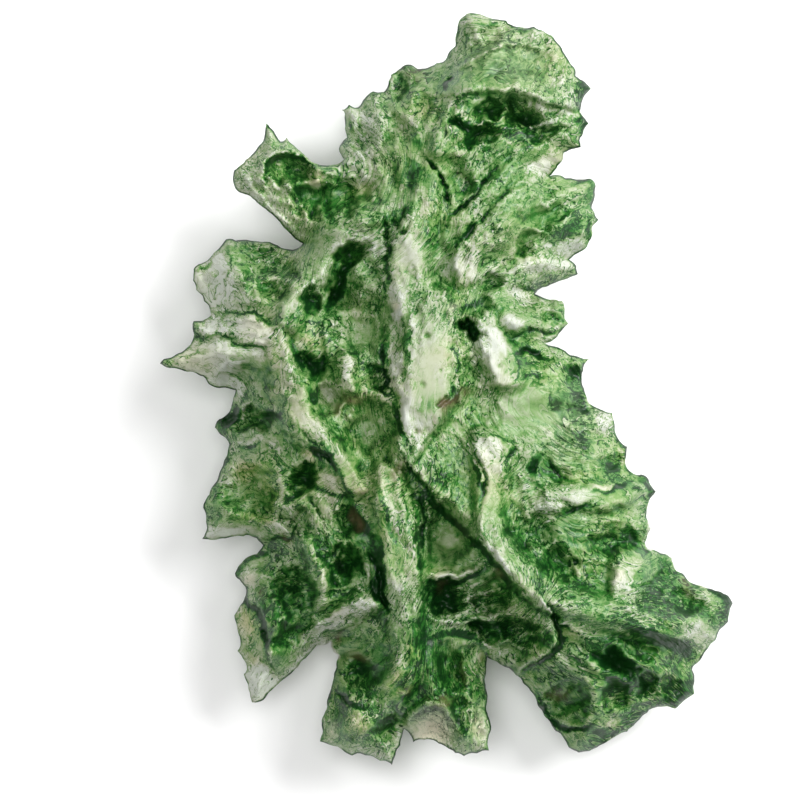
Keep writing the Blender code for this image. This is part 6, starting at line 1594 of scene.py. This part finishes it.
def glass():
    """Clear green glass that absorbs light along its depth, under a skin that etching has frosted and
    whose colour holds painted light and shade.
    """
    material = bpy.data.materials.new("moldavite glass")
    material.use_nodes = True
    tree = Tree(material.node_tree)
    speck = specks(tree)
    flow = fluting(tree)
    tone = skin_tone(tree, speck, flow)
    colour = tree.node("ShaderNodeValToRGB", {"stops": GLASS_TONES}, {"Fac": tone}, "Color")
    colour = tinted(tree, tree.painted("yellow").limited(), colour, YELLOW_TINT)
    beige = tree.painted("beige") * (tone * 1.2 + 0.3)
    colour = mixed(tree, beige.limited(), colour, BEIGE_SKIN)
    colour = mixed(tree, tree.painted("stain") * (speck * 0.6 + 0.2), colour, STAIN_BROWN)
    bump = tree.node("ShaderNodeBump", {}, {
        "Height": flow * tree.painted("worked"),
        "Distance": BUMP_HEIGHT,
        "Strength": BUMP_STRENGTH,
    })
    surface = tree.node("ShaderNodeBsdfPrincipled", {}, {
        "Base Color": colour,
        "Roughness": SMOOTHEST + 0.2 * speck + 0.2 * tree.painted("pale").limited(),
        "IOR": GLASS_IOR,
        "Specular IOR Level": GLOSS,
        "Transmission Weight": CLEAR_SHARE,
        "Normal": bump,
    })
    settings = {"Color": DEPTH_COLOUR, "Density": DEPTH_DENSITY}
    depth = tree.node("ShaderNodeVolumeAbsorption", {}, settings)
    tree.node("ShaderNodeOutputMaterial", {}, {"Surface": surface, "Volume": depth})
    return material


def floor_finish():
    """Plain white card."""
    material = bpy.data.materials.new("white card")
    material.use_nodes = True
    card = material.node_tree.nodes["Principled BSDF"]
    card.inputs["Base Color"].default_value = CARD_WHITE
    card.inputs["Roughness"].default_value = CARD_ROUGHNESS
    return material


def lay_floor():
    """A wide pale floor under the stone."""
    mesh = bpy.data.meshes.new("floor")
    ways = ((-1, -1), (1, -1), (1, 1), (-1, 1))
    corners = [(x * FLOOR_HALF_WIDTH, y * FLOOR_HALF_WIDTH, 0) for x, y in ways]
    mesh.from_pydata(corners, [], [(0, 1, 2, 3)])
    mesh.materials.append(floor_finish())
    floor = bpy.data.objects.new("floor", mesh)
    bpy.context.scene.collection.objects.link(floor)


def aim(thing, place, target):
    """Puts a camera or a light at a place and turns it to look at the target."""
    thing.location = place
    thing.rotation_mode = "QUATERNION"
    thing.rotation_quaternion = (Vector(target) - Vector(place)).to_track_quat("-Z", "Y")


def hang_light(name, place, width, watts):
    """A square soft light at that place, in metres, aimed at the stone."""
    lamp = bpy.data.lights.new(name, "AREA")
    lamp.size = width
    lamp.energy = watts
    light = bpy.data.objects.new(name, lamp)
    light.visible_camera = False
    bpy.context.scene.collection.objects.link(light)
    aim(light, place, (0, 0, STONE_HEIGHT / 2 * MILLIMETRE))


def light_the_studio():
    """Two soft lights and an even pale surround."""
    world = bpy.data.worlds.new("studio")
    world.use_nodes = True
    surround = world.node_tree.nodes["Background"]
    surround.inputs["Color"].default_value = SURROUND
    surround.inputs["Strength"].default_value = SURROUND_STRENGTH
    bpy.context.scene.world = world
    for light in LIGHTS:
        hang_light(*light)


def set_camera():
    """A long lens straight above the stone."""
    camera = bpy.data.objects.new("camera", bpy.data.cameras.new("camera"))
    camera.data.sensor_width = SENSOR_WIDTH * 1000
    camera.data.lens = SENSOR_WIDTH * 1000 * CAMERA_HEIGHT / FRAME_WIDTH
    camera.data.clip_start = CAMERA_HEIGHT / 10
    bpy.context.scene.collection.objects.link(camera)
    x, y = FRAME_MIDDLE
    aim(camera, (x, y, CAMERA_HEIGHT + MIDDLE_HEIGHT * MILLIMETRE), (x, y, 0))
    bpy.context.scene.camera = camera


def build_stone():
    """The stone as one finished mesh that stands for the CAD solid."""
    chance = np.random.default_rng(SEED)
    mesh = stone_mesh(chance)
    mesh.materials.append(glass())
    stone = bpy.data.objects.new("moldavite_glass", mesh)
    bpy.context.scene.collection.objects.link(stone)
    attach(stone, "root")
    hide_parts("moldavite")


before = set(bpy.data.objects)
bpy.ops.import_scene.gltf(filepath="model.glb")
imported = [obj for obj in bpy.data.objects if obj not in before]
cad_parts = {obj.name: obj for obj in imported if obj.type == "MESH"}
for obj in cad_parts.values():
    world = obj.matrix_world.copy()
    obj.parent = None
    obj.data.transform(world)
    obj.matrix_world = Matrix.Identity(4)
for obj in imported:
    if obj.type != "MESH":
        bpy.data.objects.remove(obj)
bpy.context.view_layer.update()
noise.seed_set(WANDER_SEED)
bpy.context.scene.view_settings.view_transform = "Standard"
lay_floor()
set_camera()
light_the_studio()
build_stone()
